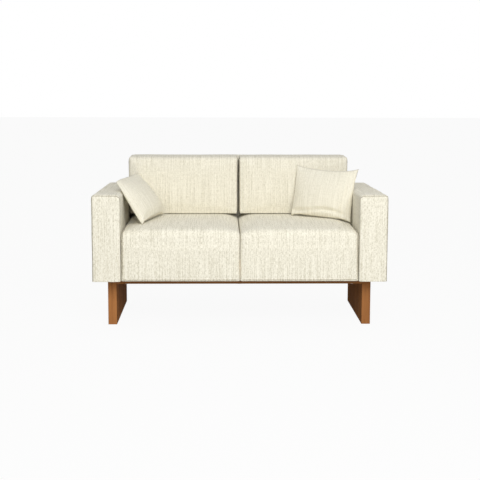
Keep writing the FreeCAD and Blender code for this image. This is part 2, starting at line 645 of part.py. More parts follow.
ARM_FRAME_Y = ("places.arm_frame_front", "places.arm_frame_rear")
for name, side in SIDES:
    core_x = span(side, "places.arm_core_inner", "places.arm_core_outer")
    bottom_rail = board(f"arm_bottom_rail_blank_{name}", core_x, ARM_FRAME_Y,
                        ("sizes.leg_height", "places.arm_bottom_rail_top"))
    keep(drilled(f"arm_bottom_rail_{name}", bottom_rail, frame_holes[side]),
         f"arm_bottom_rail_{name}")
    keep(board(f"arm_top_rail_{name}", core_x, ARM_FRAME_Y,
               ("places.arm_top_rail_bottom", "places.arm_frame_top")), f"arm_top_rail_{name}")
    post_z = ("places.arm_bottom_rail_top", "places.arm_top_rail_bottom")
    keep(board(f"arm_front_post_{name}", core_x,
               ("places.arm_frame_front", "places.arm_frame_front + sizes.arm_post_depth"),
               post_z), f"arm_front_post_{name}")
    rear_post = board(f"arm_rear_post_blank_{name}", core_x,
                      ("places.arm_frame_rear - sizes.arm_post_depth", "places.arm_frame_rear"),
                      post_z)
    keep(drilled(f"arm_rear_post_{name}", rear_post, frame_holes[side]), f"arm_rear_post_{name}")
    panel_z = ("sizes.leg_height", "places.arm_frame_top")
    inner_panel = board(f"arm_inner_panel_blank_{name}",
                        span(side, "places.arm_frame_inner", "places.arm_core_inner"),
                        ARM_FRAME_Y, panel_z)
    keep(drilled(f"arm_inner_panel_{name}", inner_panel, frame_holes[side]),
         f"arm_inner_panel_{name}")
    keep(board(f"arm_outer_panel_{name}",
               span(side, "places.arm_core_outer", "places.arm_frame_outer"),
               ARM_FRAME_Y, panel_z), f"arm_outer_panel_{name}")


def on_side(shape, side):
    """A shape made for the right side, or its mirror image on the left."""
    return shape if side > 0 else shape.mirror(Vector(), Vector(1, 0, 0))


def without_bolts(shape, side):
    """A soft piece with the frame bolts' holes through it."""
    return shape.cut(frame_holes[side].Shape)


doc.recompute()
for name, side in SIDES:
    soft_piece(f"arm_foam_{name}", without_bolts(on_side(arm_foam_shape, side), side))
    soft_piece(f"arm_cover_{name}", without_bolts(on_side(arm_cover_shape, side), side))


# Seat blocks: crowned, falling towards both ends, with a round front shoulder

# Shares of the falling length at which an outline is drawn
FALL_STEPS = (0.25, 0.45, 0.7, 1.0)

# Share of the rise from front to rear by which the seat's middle stands over a straight line
CROWN_SHARE = 0.25


def seat_ring(x, inset, drop, end_inset, fall):
    """The upright outline of a seat block from front to rear."""
    front = place.seat_front + inset + end_inset
    rear = place.seat_rear - inset
    low = place.beam_bottom - drop
    rear_top = size.seat_height - inset - end_inset - fall
    shoulder_top = rear_top - size.seat_rise
    radius = size.seat_shoulder - inset
    sy, sz = quarter(front + radius, shoulder_top - radius, radius, (-1, 1))
    crown_y = (front + radius + rear) / 2
    crown_z = (shoulder_top + rear_top) / 2 + CROWN_SHARE * size.seat_rise
    return ring([
        (Vector(x, front, low), None),
        (Vector(x, front, shoulder_top - radius), Vector(x, sy, sz)),
        (Vector(x, front + radius, shoulder_top), Vector(x, crown_y, crown_z)),
        (Vector(x, rear, rear_top), None),
        (Vector(x, rear, low), None),
    ])


def seat_form(inset, drop=0.0):
    """The right seat block's outer form."""
    reach = size.seat_fall_reach
    inner, outer = place.seat_inner + inset, place.seat_outer - inset
    columns = []
    for end, towards, radius in ((inner, 1, size.seat_seam_round),
                                 (outer, -1, size.seat_end_round)):
        distances = [step * radius for step in END_STEPS]
        distances += [reach * share for share in FALL_STEPS]
        start = distances[0]
        columns += [(end + towards * (distance - start), distance, radius)
                    for distance in distances]
    return loft([seat_ring(x, inset, drop, edge_inset(distance, radius),
                           size.seat_fall * max(0.0, 1 - distance / reach) ** 2)
                 for x, distance, radius in sorted(columns)])


seat_cover_shape = seat_form(0.0).cut(seat_form(size.cover_thickness, drop=PAST_FACE))
centre_beam_room = block((0, place.seat_inner + place.cover_depth),
                         (place.beam_front, place.beam_rear + size.soft_clearance),
                         (0, place.felt_top))
seat_cover_shape = seat_cover_shape.cut(centre_beam_room)
seat_core = block((-place.arm_outer, place.arm_outer), (place.beam_front, place.rear),
                  (0, place.felt_top))
seat_foam_shape = seat_form(place.cover_depth).cut(seat_core)
for name, side in SIDES:
    soft_piece(f"seat_foam_{name}", on_side(seat_foam_shape, side))
    soft_piece(f"seat_cover_{name}", without_bolts(on_side(seat_cover_shape, side), side))


# Back: posts and rails, elastic bands, foam, cover and a thin rear board

BACK_FRAME_Y = ("places.back_frame_front", "places.back_frame_rear")
BACK_RAIL_X = ("-places.back_post_inner", "places.back_post_inner")
BACK_RAIL_Y = ("places.back_frame_front", "places.back_rail_rear")
for name, side in SIDES:
    post = board(f"back_post_blank_{name}",
                 span(side, "places.back_post_inner", "places.back_frame_outer"), BACK_FRAME_Y,
                 ("places.beam_bottom", "places.back_frame_top"))
    keep(drilled(f"back_post_{name}", post, frame_holes[side]), f"back_post_{name}")
keep(board("back_centre_post", ("-sizes.back_post_width / 2", "sizes.back_post_width / 2"),
           BACK_FRAME_Y, ("places.beam_top", "places.back_top_rail_bottom")), "back_centre_post")
keep(board("back_bottom_rail", BACK_RAIL_X, BACK_RAIL_Y, BEAM_Z), "back_bottom_rail")
keep(board("back_top_rail", BACK_RAIL_X, BACK_RAIL_Y,
           ("places.back_top_rail_bottom", "places.back_frame_top")), "back_top_rail")
keep(board("back_outer_panel", ("-places.back_frame_outer", "places.back_frame_outer"),
           ("places.back_frame_rear", "places.back_panel_rear"),
           ("places.beam_bottom", "places.back_panel_top")), "back_outer_panel")
bands = int(size.webbing_bands)
band_step = f"2 * places.back_frame_outer / {bands}"
keep(group("back_webbing",
           [board(f"webbing_band_{i}",
                  (f"-places.back_frame_outer + {band_step} * {i + 0.5} - sizes.webbing_width / 2",
                   f"-places.back_frame_outer + {band_step} * {i + 0.5} + sizes.webbing_width / 2"),
                  ("places.back_foam_rear", "places.back_frame_front"),
                  ("places.beam_bottom + sizes.beam_height / 3",
                   "places.back_frame_top - sizes.back_rail_height / 3"))
            for i in range(bands)]), "back_webbing")


def back_ring(x, inset, drop, end_inset):
    """The upright outline of the fixed back from front to rear."""
    front = place.back_front + inset
    rear = place.back_rear - inset - end_inset
    top = size.back_height - inset - end_inset
    low = place.beam_bottom - drop
    radius = size.back_round - inset
    fy, fz = quarter(front + radius, top - radius, radius, (-1, 1))
    ry, rz = quarter(rear - radius, top - radius, radius, (1, 1))
    return ring([
        (Vector(x, front, low), None),
        (Vector(x, front, top - radius), Vector(x, fy, fz)),
        (Vector(x, front + radius, top), None),
        (Vector(x, rear - radius, top), Vector(x, ry, rz)),
        (Vector(x, rear, top - radius), None),
        (Vector(x, rear, low), None),
    ])


def back_form(inset, drop=0.0):
    """The fixed back's outer form, between the arms."""
    radius = size.back_end_round
    half = place.back_outer - inset
    steps = [step * radius for step in END_STEPS]
    columns = [(-half + step - steps[0], step) for step in steps]
    columns += [(half - step + steps[0], step) for step in reversed(steps)]
    return loft([back_ring(x, inset, drop, edge_inset(step, radius)) for x, step in columns])


back_core = block((-place.back_frame_outer, place.back_frame_outer),
                  (place.back_foam_rear, place.rear), (0, place.back_frame_top))
back_foam_shape = back_form(place.cover_depth).cut(back_core)
back_cover_shape = back_form(0.0).cut(back_form(size.cover_thickness, drop=PAST_FACE))
for name, side in SIDES:
    back_foam_shape = without_bolts(back_foam_shape, side)
    back_cover_shape = without_bolts(back_cover_shape, side)
soft_piece("back_foam", back_foam_shape)
soft_piece("back_cover", back_cover_shape)


# Back cushions: boxed, rounded, swelling at the front, with a zip low in the rear

# Shares of half the width at which an outline is drawn between an end and the middle
CUSHION_STEPS = (0.3, 0.65)


def cushion_ring(x, inset, end_inset, swell):
    """The upright outline of a back cushion from front to rear."""
    front = place.cushion_front + inset + end_inset
    rear = place.cushion_rear - inset - end_inset
    low = place.cushion_bottom + inset + end_inset
    top = size.cushion_top - inset - end_inset
    radius = size.cushion_round - inset
    corners = {}
    for key, cy, cz, turn in (("front_low", front + radius, low + radius, (-1, -1)),
                              ("front_top", front + radius, top - radius, (-1, 1)),
                              ("rear_top", rear - radius, top - radius, (1, 1)),
                              ("rear_low", rear - radius, low + radius, (1, -1))):
        y, z = quarter(cy, cz, radius, turn)
        corners[key] = Vector(x, y, z)
    return ring([
        (Vector(x, front + radius, low), corners["front_low"]),
        (Vector(x, front, low + radius), Vector(x, front - swell, (low + top) / 2)),
        (Vector(x, front, top - radius), corners["front_top"]),
        (Vector(x, front + radius, top), None),
        (Vector(x, rear - radius, top), corners["rear_top"]),
        (Vector(x, rear, top - radius), None),
        (Vector(x, rear, low + radius), corners["rear_low"]),
        (Vector(x, rear - radius, low), None),
    ])


def front_swell(share):
    """How far a back cushion's front swells, from its end (0) to its middle (1)."""
    return size.cushion_least_swell + size.cushion_crown * (1 - (1 - min(share, 1)) ** 2)


def cushion_form(inset):
    """The right back cushion's outer form."""
    radius = size.cushion_round
    inner, outer = place.cushion_inner + inset, place.cushion_outer - inset
    half = (outer - inner) / 2
    distances = [step * radius for step in END_STEPS]
    distances += [share * half for share in CUSHION_STEPS]
    start = distances[0]
    columns = [(inner + distance - start, distance) for distance in distances]
    columns.append(((inner + outer) / 2, half))
    columns += [(outer - distance + start, distance) for distance in reversed(distances)]
    return loft([cushion_ring(x, inset, edge_inset(distance, radius),
                              front_swell(distance / half))
                 for x, distance in columns])


cushion_middle = (place.cushion_inner + place.cushion_outer) / 2
zip_low = place.cushion_bottom + 2 * size.cushion_round
zip_x = (cushion_middle - size.cushion_zip_length / 2,
         cushion_middle + size.cushion_zip_length / 2)
zip_z = (zip_low, zip_low + size.cushion_zip_width)
zip_y = (place.cushion_rear - size.cover_thickness, place.cushion_rear)
cushion_zip = block(zip_x, zip_y, zip_z)
zip_slot = block((zip_x[0] - size.soft_clearance, zip_x[1] + size.soft_clearance),
                 (zip_y[0] - size.cover_thickness, zip_y[1] + size.cover_thickness),
                 (zip_z[0] - size.soft_clearance, zip_z[1] + size.soft_clearance))
cushion_cover_shape = cushion_form(0.0).cut(cushion_form(size.cover_thickness)).cut(zip_slot)
cushion_foam_shape = cushion_form(place.cover_depth)
for name, side in SIDES:
    soft_piece(f"back_cushion_foam_{name}", on_side(cushion_foam_shape, side))
    soft_piece(f"back_cushion_cover_{name}", on_side(cushion_cover_shape, side))
    soft_piece(f"back_cushion_zip_{name}", on_side(cushion_zip, side))


# Throw pillows: pointed corners, drawn-in sides, a full middle, a zip in the lower seam

# Shares of the depth at which an outline is drawn, from the seam outwards
PILLOW_LEVELS = (0.0, 0.2, 0.42, 0.62, 0.8, 0.93, 1.0)

# The outermost outline is smaller than the seam by this share; corners shrink at once and
# the middles of the sides late, which leaves thin ears and full sides
PILLOW_SHRINK = 0.72
EAR_CURVE = 0.9
SIDE_CURVE = 2.6



def pillow_ring(level, depth, inset):
    """The outline of a pillow at a share of its depth in front of or behind its seam."""
    share = abs(level)
    half_width = size.pillow_width / 2 - inset
    half_height = size.pillow_height / 2 - inset
    corner = 1 - PILLOW_SHRINK * share ** EAR_CURVE
    middle = 1 - PILLOW_SHRINK * share ** SIDE_CURVE
    a, b = half_width * corner, half_height * corner
    ma = (half_width - size.pillow_draw) * middle
    mb = (half_height - size.pillow_draw) * middle
    y = -math.copysign(share * depth, level)
    return ring([
        (Vector(-a, y, -b), Vector(0, y, -mb)),
        (Vector(a, y, -b), Vector(ma, y, 0)),
        (Vector(a, y, b), Vector(0, y, mb)),
        (Vector(-a, y, b), Vector(-ma, y, 0)),
    ])


def pillow_form(inset):
    """A pillow about its own middle: width along X, height along Z, front towards -Y."""
    rings = [pillow_ring(-level, size.pillow_rear_depth - inset, inset)
             for level in reversed(PILLOW_LEVELS[1:])]
    rings += [pillow_ring(level, size.pillow_front_depth - inset, inset)
              for level in PILLOW_LEVELS]
    return loft(rings)


def pillow_turn(yaw, lean, roll):
    """Turns a pillow about the upright axis, leans it back, then rolls it in its own plane."""
    return (Rotation(Vector(0, 0, 1), yaw) * Rotation(Vector(1, 0, 0), -lean)
            * Rotation(Vector(0, 1, 0), -roll))


def seat_top(x, y):
    """The height of the seat at a place away from its front shoulder."""
    outer_gap = place.seat_outer - abs(x)
    inner_gap = abs(x) - place.seat_inner
    gap = max(0.0, min(outer_gap, inner_gap))
    end_round = size.seat_end_round if outer_gap < inner_gap else size.seat_seam_round
    fall = size.seat_fall * max(0.0, 1 - gap / size.seat_fall_reach) ** 2
    depth = place.seat_rear - place.seat_front - size.seat_shoulder
    rise = size.seat_rise * ((place.seat_rear - y) / depth) ** 2
    return size.seat_height - fall - edge_inset(gap, end_round) - rise


SEAM_POINTS = 11


def lower_seam(turn):
    """Points along a turned pillow's lower seam, from its middle."""
    half_width, half_height = size.pillow_width / 2, size.pillow_height / 2
    shares = [2 * step / (SEAM_POINTS - 1) - 1 for step in range(SEAM_POINTS)]
    return [turn.multVec(Vector(share * half_width, 0,
                                size.pillow_draw * (1 - share ** 2) - half_height))
            for share in shares]


def rest_on_seat(turn, x, y):
    """The height of a pillow's middle when its lower seam just clears the seat."""
    heights = [seat_top(x + point.x, y + point.y) - point.z for point in lower_seam(turn)]
    return max(heights) + size.soft_clearance


def rest_on_back(turn, end_share):
    """The depth of a pillow's middle when its rearmost corner just clears a back cushion.

    The corner lies at a share of the way from the cushion's end to its middle."""
    corner = max(turn.multVec(Vector(i * size.pillow_width / 2, 0, j * size.pillow_height / 2)).y
                 for i in (-1, 1) for j in (-1, 1))
    return place.cushion_front - front_swell(end_share) - size.soft_clearance - corner


# How often a pillow's resting height and its side contact are worked out in turn
CONTACT_ROUNDS = 5


def pillow_on_arm_edge(turn, end_share, depth_share):
    """The left pillow: it lies back on the inner top edge of its arm."""
    front_way = turn.multVec(Vector(0, -1, 0))
    y = rest_on_back(turn, end_share)
    arm_top = size.arm_height - size.arm_fall * (y - place.front) / size.overall_depth
    edge = Vector(-place.arm_inner - size.arm_inner_round, y, arm_top - size.arm_inner_round)
    stand_off = (size.arm_inner_round + size.pillow_rear_depth * depth_share
                 + size.soft_clearance)
    x = -place.arm_inner
    for _ in range(CONTACT_ROUNDS):
        z = rest_on_seat(turn, x, y)
        x = edge.x + (stand_off - front_way.z * (z - edge.z)) / front_way.x
    return Placement(Vector(x, y, z), turn)


def pillow_in_corner(turn, end_share, seam_share):
    """The right pillow: it stands across the corner of its arm and back cushion."""
    upright, across = turn.multVec(Vector(0, 0, 1)), turn.multVec(Vector(1, 0, 0))
    y = rest_on_back(turn, end_share)
    edge_height = size.arm_height - size.arm_fall / 2 - size.arm_inner_round
    half_width = size.pillow_width / 2 - size.pillow_draw * seam_share
    x = place.arm_inner - half_width
    for _ in range(CONTACT_ROUNDS):
        z = rest_on_seat(turn, x, y)
        climb = (edge_height - z - across.z * half_width) / upright.z
        x = (place.arm_inner - 2 * size.soft_clearance
             - across.x * half_width - upright.x * climb)
    return Placement(Vector(x, y, z), turn)


PILLOW_POSES = {
    "left": pillow_on_arm_edge(pillow_turn(yaw=76.0, lean=32.3, roll=1.8),
                               end_share=0.18, depth_share=1.07),
    "right": pillow_in_corner(pillow_turn(yaw=-30.0, lean=9.0, roll=-2.5),
                              end_share=1.0, seam_share=0.7),
}
for name, pose in PILLOW_POSES.items():
    print(f"{name} pillow's middle: " + ", ".join(f"{value:.1f}" for value in pose.Base))

zip_bottom = -size.pillow_height / 2 + size.pillow_draw + size.pillow_zip_inset
zip_top = zip_bottom + size.pillow_zip_width
zip_half = size.pillow_zip_length / 2
zip_side = size.pillow_zip_thickness / 2
pillow_zip = block((-zip_half, zip_half), (-zip_side, zip_side), (zip_bottom, zip_top))
slot_half = zip_half + size.soft_clearance
slot_side = zip_side + size.soft_clearance
pillow_slot = block((-slot_half, slot_half), (-slot_side, slot_side),
                    (-size.pillow_height, zip_top + size.soft_clearance))
pillow_cover_shape = pillow_form(0.0).cut(pillow_form(size.cover_thickness)).cut(pillow_slot)
pillow_fill_inset = place.cover_depth + size.soft_clearance
pillow_fill_shape = pillow_form(pillow_fill_inset).cut(pillow_slot)
for name, _ in SIDES:
    for part_name, shape in (("fill", pillow_fill_shape), ("cover", pillow_cover_shape),
                             ("zip", pillow_zip)):
        piece = soft_piece(f"throw_pillow_{part_name}_{name}", shape.copy())
        piece.Placement = PILLOW_POSES[name]


# Checks of the document, then one file for each piece

doc.recompute()
faults = []
for item in doc.Objects:
    if {"Invalid", "Error"} & set(item.State):
        faults.append(f"{item.Label}: {item.State}")
for piece in nodes:
    shape = piece.Shape
    if shape.isNull() or not shape.isValid() or not shape.Solids:
        faults.append(f"{piece.Label}: its shape is not a valid solid")
    elif min(solid.Volume for solid in shape.Solids) <= 0:
        faults.append(f"{piece.Label}: a solid is inside out")
if faults:
    raise SystemExit("\n".join(faults))

os.makedirs("parts", exist_ok=True)
for piece in nodes:
    piece.Shape.exportStep(f"parts/{piece.Label}.step")
print(f"{len(nodes)} pieces written")
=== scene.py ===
import math

import bmesh
import bpy
from mathutils import Matrix, Vector, noise
from mathutils.bvhtree import BVHTree


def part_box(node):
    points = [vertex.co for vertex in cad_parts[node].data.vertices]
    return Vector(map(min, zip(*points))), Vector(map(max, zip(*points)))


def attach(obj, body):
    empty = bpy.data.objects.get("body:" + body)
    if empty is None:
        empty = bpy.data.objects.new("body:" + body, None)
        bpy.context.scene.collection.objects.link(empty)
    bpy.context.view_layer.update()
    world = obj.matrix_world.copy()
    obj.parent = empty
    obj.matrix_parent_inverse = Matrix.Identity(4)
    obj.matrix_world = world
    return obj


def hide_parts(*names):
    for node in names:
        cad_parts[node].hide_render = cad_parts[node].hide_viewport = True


# A small two-seat settee: soft arms, seat blocks, a back with two loose cushions and two
# throw pillows, carried by a base of two board legs and two rails. Metres, +X to the right
# of someone who looks at its front, +Y to its rear, +Z up, floor at zero.
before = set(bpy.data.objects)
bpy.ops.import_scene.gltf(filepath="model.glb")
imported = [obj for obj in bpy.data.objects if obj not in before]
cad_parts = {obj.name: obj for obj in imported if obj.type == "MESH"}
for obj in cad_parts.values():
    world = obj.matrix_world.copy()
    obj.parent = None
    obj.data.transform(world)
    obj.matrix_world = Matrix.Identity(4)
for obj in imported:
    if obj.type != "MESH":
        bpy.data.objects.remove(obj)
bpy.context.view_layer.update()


# Board legs and base rails. Each leg is one upright board of stained hardwood with its grain
# upright; two rails are tenoned into the legs. The wood is brushed, stained and oiled, so it
# has long dark pores, slow changes of tone and a low sheen.
def new_group(name, inputs, outputs):
    """A shader node group with named inputs (name, kind, default) and outputs (name, kind)."""
    group = bpy.data.node_groups.new(name, "ShaderNodeTree")
    for label, kind, default in inputs:
        socket = group.interface.new_socket(label, in_out="INPUT", socket_type=kind)
        socket.default_value = default
    for label, kind in outputs:
        group.interface.new_socket(label, in_out="OUTPUT", socket_type=kind)
    return group, group.nodes.new("NodeGroupInput"), group.nodes.new("NodeGroupOutput")


def add(tree, kind, links=(), **settings):
    """A node with its settings, and links (input socket, value or output socket)."""
    node = tree.nodes.new(kind)
    for key, value in settings.items():
        setattr(node, key, value)
    for socket, value in links:
        if isinstance(value, bpy.types.NodeSocket):
            tree.links.new(value, node.inputs[socket])
        else:
            node.inputs[socket].default_value = value
    return node


def stretched_noise(tree, place, stretch, detail=3.0, roughness=0.55):
    """Noise on a place vector, finer along the axes with the larger numbers, from 0 to 1."""
    scaled = add(tree, "ShaderNodeVectorMath", [(0, place), (1, stretch)], operation="MULTIPLY")
    clouded = add(tree, "ShaderNodeTexNoise", [("Vector", scaled.outputs[0]), ("Scale", 1.0),
                                               ("Detail", detail), ("Roughness", roughness)])
    return clouded.outputs[0]


def spread(tree, value, low, high, to_low=0.0, to_high=1.0):
    """A value between low and high, spread over a new range."""
    return add(tree, "ShaderNodeMapRange", [(0, value), (1, low), (2, high), (3, to_low),
                                            (4, to_high)]).outputs[0]


def mixed(tree, share, first, second):
    """Two colours mixed by a share."""
    return add(tree, "ShaderNodeMix", [(0, share), (6, first), (7, second)],
               data_type="RGBA").outputs[2]


def times(tree, first, second):
    """The product of two values."""
    return add(tree, "ShaderNodeMath", [(0, first), (1, second)], operation="MULTIPLY").outputs[0]


def scaled_sum(tree, *terms):
    """Values added up, each times its own weight."""
    total, *parts = [times(tree, value, weight) for value, weight in terms]
    for part in parts:
        total = add(tree, "ShaderNodeMath", [(0, total), (1, part)], operation="ADD").outputs[0]
    return total


def finish_material(name, base, rough, height, depth, **constants):
    """A material whose colour, roughness and relief come from nodes made by the caller."""
    material = bpy.data.materials.new(name)
    material.use_nodes = True
    tree = material.node_tree
    shader = tree.nodes["Principled BSDF"]
    for socket, value in constants.items():
        shader.inputs[socket.replace("_", " ")].default_value = value
    tree.links.new(base(tree), shader.inputs["Base Color"])
    tree.links.new(rough(tree), shader.inputs["Roughness"])
    bump = add(tree, "ShaderNodeBump", [("Height", height(tree)), ("Distance", depth)])
    tree.links.new(bump.outputs[0], shader.inputs["Normal"])
    return material


WOOD_LIGHT = (0.470, 0.203, 0.070, 1)
WOOD_DARK = (0.235, 0.090, 0.029, 1)
grain, grain_in, grain_out = new_group(
    "straight grain",
    [("Place", "NodeSocketVector", (0, 0, 0)), ("Light", "NodeSocketColor", WOOD_LIGHT),
     ("Dark", "NodeSocketColor", WOOD_DARK)],
    [("Color", "NodeSocketColor"), ("Roughness", "NodeSocketFloat"), ("Height", "NodeSocketFloat")])
bands = stretched_noise(grain, grain_in.outputs["Place"], (46, 46, 2.2), detail=4)
fibres = stretched_noise(grain, grain_in.outputs["Place"], (420, 420, 9), detail=3)
pores = stretched_noise(grain, grain_in.outputs["Place"], (900, 900, 26), detail=2)
tone = scaled_sum(grain, (spread(grain, bands, 0.35, 0.65), 0.62), (fibres, 0.38))
grain_tone = mixed(grain, tone, grain_in.outputs["Dark"], grain_in.outputs["Light"])
pore_mask = spread(grain, pores, 0.60, 0.72)
grain_color = mixed(grain, times(grain, pore_mask, 0.45), grain_tone, grain_in.outputs["Dark"])
grain.links.new(grain_color, grain_out.inputs["Color"])
grain.links.new(spread(grain, fibres, 0.2, 0.8, 0.66, 0.50), grain_out.inputs["Roughness"])
grain.links.new(scaled_sum(grain, (fibres, 0.5), (pore_mask, -0.6)), grain_out.inputs["Height"])


def grained(name, along, light=WOOD_LIGHT, dark=WOOD_DARK, **constants):
    """A wood whose grain runs along one axis of the settee."""
    turn = {"X": (0, math.pi / 2, 0), "Y": (math.pi / 2, 0, 0), "Z": (0, 0, 0)}[along]
    made = {}

    def node(tree):
        if "node" not in made:
            place = add(tree, "ShaderNodeTexCoord").outputs["Object"]
            turned = add(tree, "ShaderNodeMapping", [("Vector", place), ("Rotation", turn)])
            made["node"] = add(tree, "ShaderNodeGroup", node_tree=grain)
            tree.links.new(turned.outputs[0], made["node"].inputs["Place"])
            made["node"].inputs["Light"].default_value = light
            made["node"].inputs["Dark"].default_value = dark
        return made["node"]

    return finish_material(name, lambda tree: node(tree).outputs["Color"],
                           lambda tree: node(tree).outputs["Roughness"],
                           lambda tree: node(tree).outputs["Height"], depth=0.0004, **constants)


def dress(material, *nodes):
    """Gives a carried-over CAD node its material."""
    for node in nodes:
        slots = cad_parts[node].data.materials
        slots.clear()
        slots.append(material)


OILED = {"Specular_IOR_Level": 0.0, "Coat_Weight": 0.05, "Coat_Roughness": 0.45}
dress(grained("base wood upright", "Z", **OILED), "leg_panel_left", "leg_panel_right")
dress(grained("base wood lengthwise", "X", **OILED), "base_front_rail", "base_rear_rail")


# Glides. Six round pads of black moulded plastic, nailed under the legs, keep the end grain
# off the floor. They are faintly grained and scuffed.
def cloudy_tone(dark, light, scale):
    """Colour nodes that wander between two tones, as on moulded, sawn or plated surfaces."""
    def nodes(tree):
        place = add(tree, "ShaderNodeTexCoord").outputs["Object"]
        clouds = stretched_noise(tree, place, (scale,) * 3, detail=4)
        return mixed(tree, spread(tree, clouds, 0.35, 0.7), dark, light)
    return nodes


def noisy_roughness(low, high, scale):
    """Roughness nodes that wander between two values."""
    def nodes(tree):
        place = add(tree, "ShaderNodeTexCoord").outputs["Object"]
        return spread(tree, stretched_noise(tree, place, (scale,) * 3), 0.3, 0.7, low, high)
    return nodes


def noisy_height(scale):
    """Relief nodes for a fine even grain."""
    def nodes(tree):
        place = add(tree, "ShaderNodeTexCoord").outputs["Object"]
        return stretched_noise(tree, place, (scale,) * 3, detail=2)
    return nodes


GLIDE_DARK, GLIDE_LIGHT = (0.012, 0.012, 0.012, 1), (0.05, 0.05, 0.05, 1)
dress(finish_material("glide plastic", cloudy_tone(GLIDE_DARK, GLIDE_LIGHT, 160),
                      noisy_roughness(0.45, 0.65, 300), noisy_height(1500), depth=0.0002),
      "glides_left", "glides_right")


# Bolts, springs and spring clips. All are bright zinc-plated steel: six bolts come up through
# the base rails, ten go sideways into the arms, and ten zigzag springs hang in clips.
zinc = finish_material("bright zinc", cloudy_tone((0.36, 0.37, 0.38, 1), (0.60, 0.60, 0.58, 1), 90),
                       noisy_roughness(0.26, 0.44, 220), noisy_height(900), depth=0.0001,
                       Metallic=1.0)
dress(zinc, "base_bolts", "frame_bolts", "springs_left", "springs_right", "spring_clips")


# Frame. Sawn softwood beams, posts and rails, glued and screwed, closed with thin hardboard
# on both sides of each arm and behind the back. All of it is hidden by foam and cloth.
SOFTWOOD_LIGHT = (0.72, 0.52, 0.31, 1)
SOFTWOOD_DARK = (0.50, 0.30, 0.15, 1)
softwood = {axis: grained(f"softwood along {axis}", axis, SOFTWOOD_LIGHT, SOFTWOOD_DARK)
            for axis in "XYZ"}
dress(softwood["X"], "seat_front_beam", "seat_rear_beam", "back_bottom_rail", "back_top_rail")
dress(softwood["Y"], "seat_centre_beam")
dress(softwood["Z"], "back_centre_post")
hardboard = finish_material(
    "hardboard", cloudy_tone((0.16, 0.085, 0.04, 1), (0.27, 0.155, 0.08, 1), 240),
    noisy_roughness(0.6, 0.8, 400), noisy_height(1200), depth=0.0003)
dress(hardboard, "back_outer_panel")
for side in ("left", "right"):
    dress(softwood["Y"], f"seat_side_beam_{side}", f"arm_bottom_rail_{side}",
          f"arm_top_rail_{side}")
    dress(softwood["Z"], f"arm_front_post_{side}", f"arm_rear_post_{side}", f"back_post_{side}")
    dress(hardboard, f"arm_inner_panel_{side}", f"arm_outer_panel_{side}")


# Arms. Each is a boxy frame in thin foam under one cream slub linen: a front panel is sewn to
# the cloth that wraps over the top, with a seam round its edge, and the hems are stapled
# underneath. The top falls a little to the rear, and the foam takes the hard edges off.
CLOTH_LIGHT = (0.930, 0.892, 0.765, 1)
CLOTH_DARK = (0.560, 0.520, 0.390, 1)
weave, weave_in, weave_out = new_group(
    "slub weave",
    [("Place", "NodeSocketVector", (0, 0, 0)), ("Light", "NodeSocketColor", CLOTH_LIGHT),
     ("Dark", "NodeSocketColor", CLOTH_DARK), ("Streaks", "NodeSocketFloat", 0.5),
     ("Flecks", "NodeSocketFloat", 0.5)],
    [("Color", "NodeSocketColor"), ("Roughness", "NodeSocketFloat"), ("Height", "NodeSocketFloat")])
cloth_place = weave_in.outputs["Place"]
streaks = stretched_noise(weave, cloth_place, (250, 5, 1), detail=3)
upright_slubs = stretched_noise(weave, cloth_place, (380, 62, 1), detail=3, roughness=0.7)
level_slubs = stretched_noise(weave, cloth_place, (95, 420, 1), detail=3, roughness=0.7)
clouds = stretched_noise(weave, cloth_place, (85, 60, 1), detail=2)
flecks = scaled_sum(weave, (upright_slubs, 0.55), (level_slubs, 0.35), (clouds, 0.10))
cross_slubs = stretched_noise(weave, cloth_place, (14, 330, 1), detail=3)


def ribs(tree, place, axis, count):
    """Rounded ridges, so many to the metre along one axis of the cloth."""
    along = add(tree, "ShaderNodeSeparateXYZ", [(0, place)]).outputs[axis]
    angle = times(tree, along, 2 * math.pi * count)
    return add(tree, "ShaderNodeMath", [(0, angle)], operation="SINE").outputs[0]


UPRIGHT_THREADS, LEVEL_THREADS = 520, 560
threads = times(weave, ribs(weave, cloth_place, 0, UPRIGHT_THREADS),
                ribs(weave, cloth_place, 1, LEVEL_THREADS))
streak_tone = times(weave, spread(weave, streaks, 0.25, 0.75, -1, 1), weave_in.outputs["Streaks"])
fleck_tone = times(weave, spread(weave, flecks, 0.39, 0.61, -1, 1), weave_in.outputs["Flecks"])
cloth_tone = scaled_sum(weave, (streak_tone, 0.5), (fleck_tone, 0.5),
                        (spread(weave, cross_slubs, 0.3, 0.7, -1, 1), 0.10), (threads, 0.04))
cloth_share = spread(weave, cloth_tone, -0.5, 0.5, 0.20, 1.22)
weave.links.new(mixed(weave, cloth_share, weave_in.outputs["Dark"], weave_in.outputs["Light"]),
                weave_out.inputs["Color"])
weave.links.new(spread(weave, flecks, 0.2, 0.8, 0.93, 0.82), weave_out.inputs["Roughness"])
cloth_relief = scaled_sum(weave, (streaks, 0.35), (flecks, 0.35), (threads, 0.22),
                          (cross_slubs, 0.2))
weave.links.new(cloth_relief, weave_out.inputs["Height"])


def woven(name, streaks, flecks, light=CLOTH_LIGHT, dark=CLOTH_DARK):
    """The slub linen, with its own share of streaks and flecks."""
    made = {}

    def node(tree):
        if "node" not in made:
            place = add(tree, "ShaderNodeUVMap", uv_map="cloth").outputs[0]
            made["node"] = add(tree, "ShaderNodeGroup", node_tree=weave)
            tree.links.new(place, made["node"].inputs["Place"])
            for label, value in (("Streaks", streaks), ("Flecks", flecks), ("Light", light),
                                 ("Dark", dark)):
                made["node"].inputs[label].default_value = value
        return made["node"]

    return finish_material(name, lambda tree: node(tree).outputs["Color"],
                           lambda tree: node(tree).outputs["Roughness"],
                           lambda tree: node(tree).outputs["Height"], depth=0.0007,
                           Sheen_Weight=0.15, Sheen_Roughness=0.5, Specular_IOR_Level=0.15)


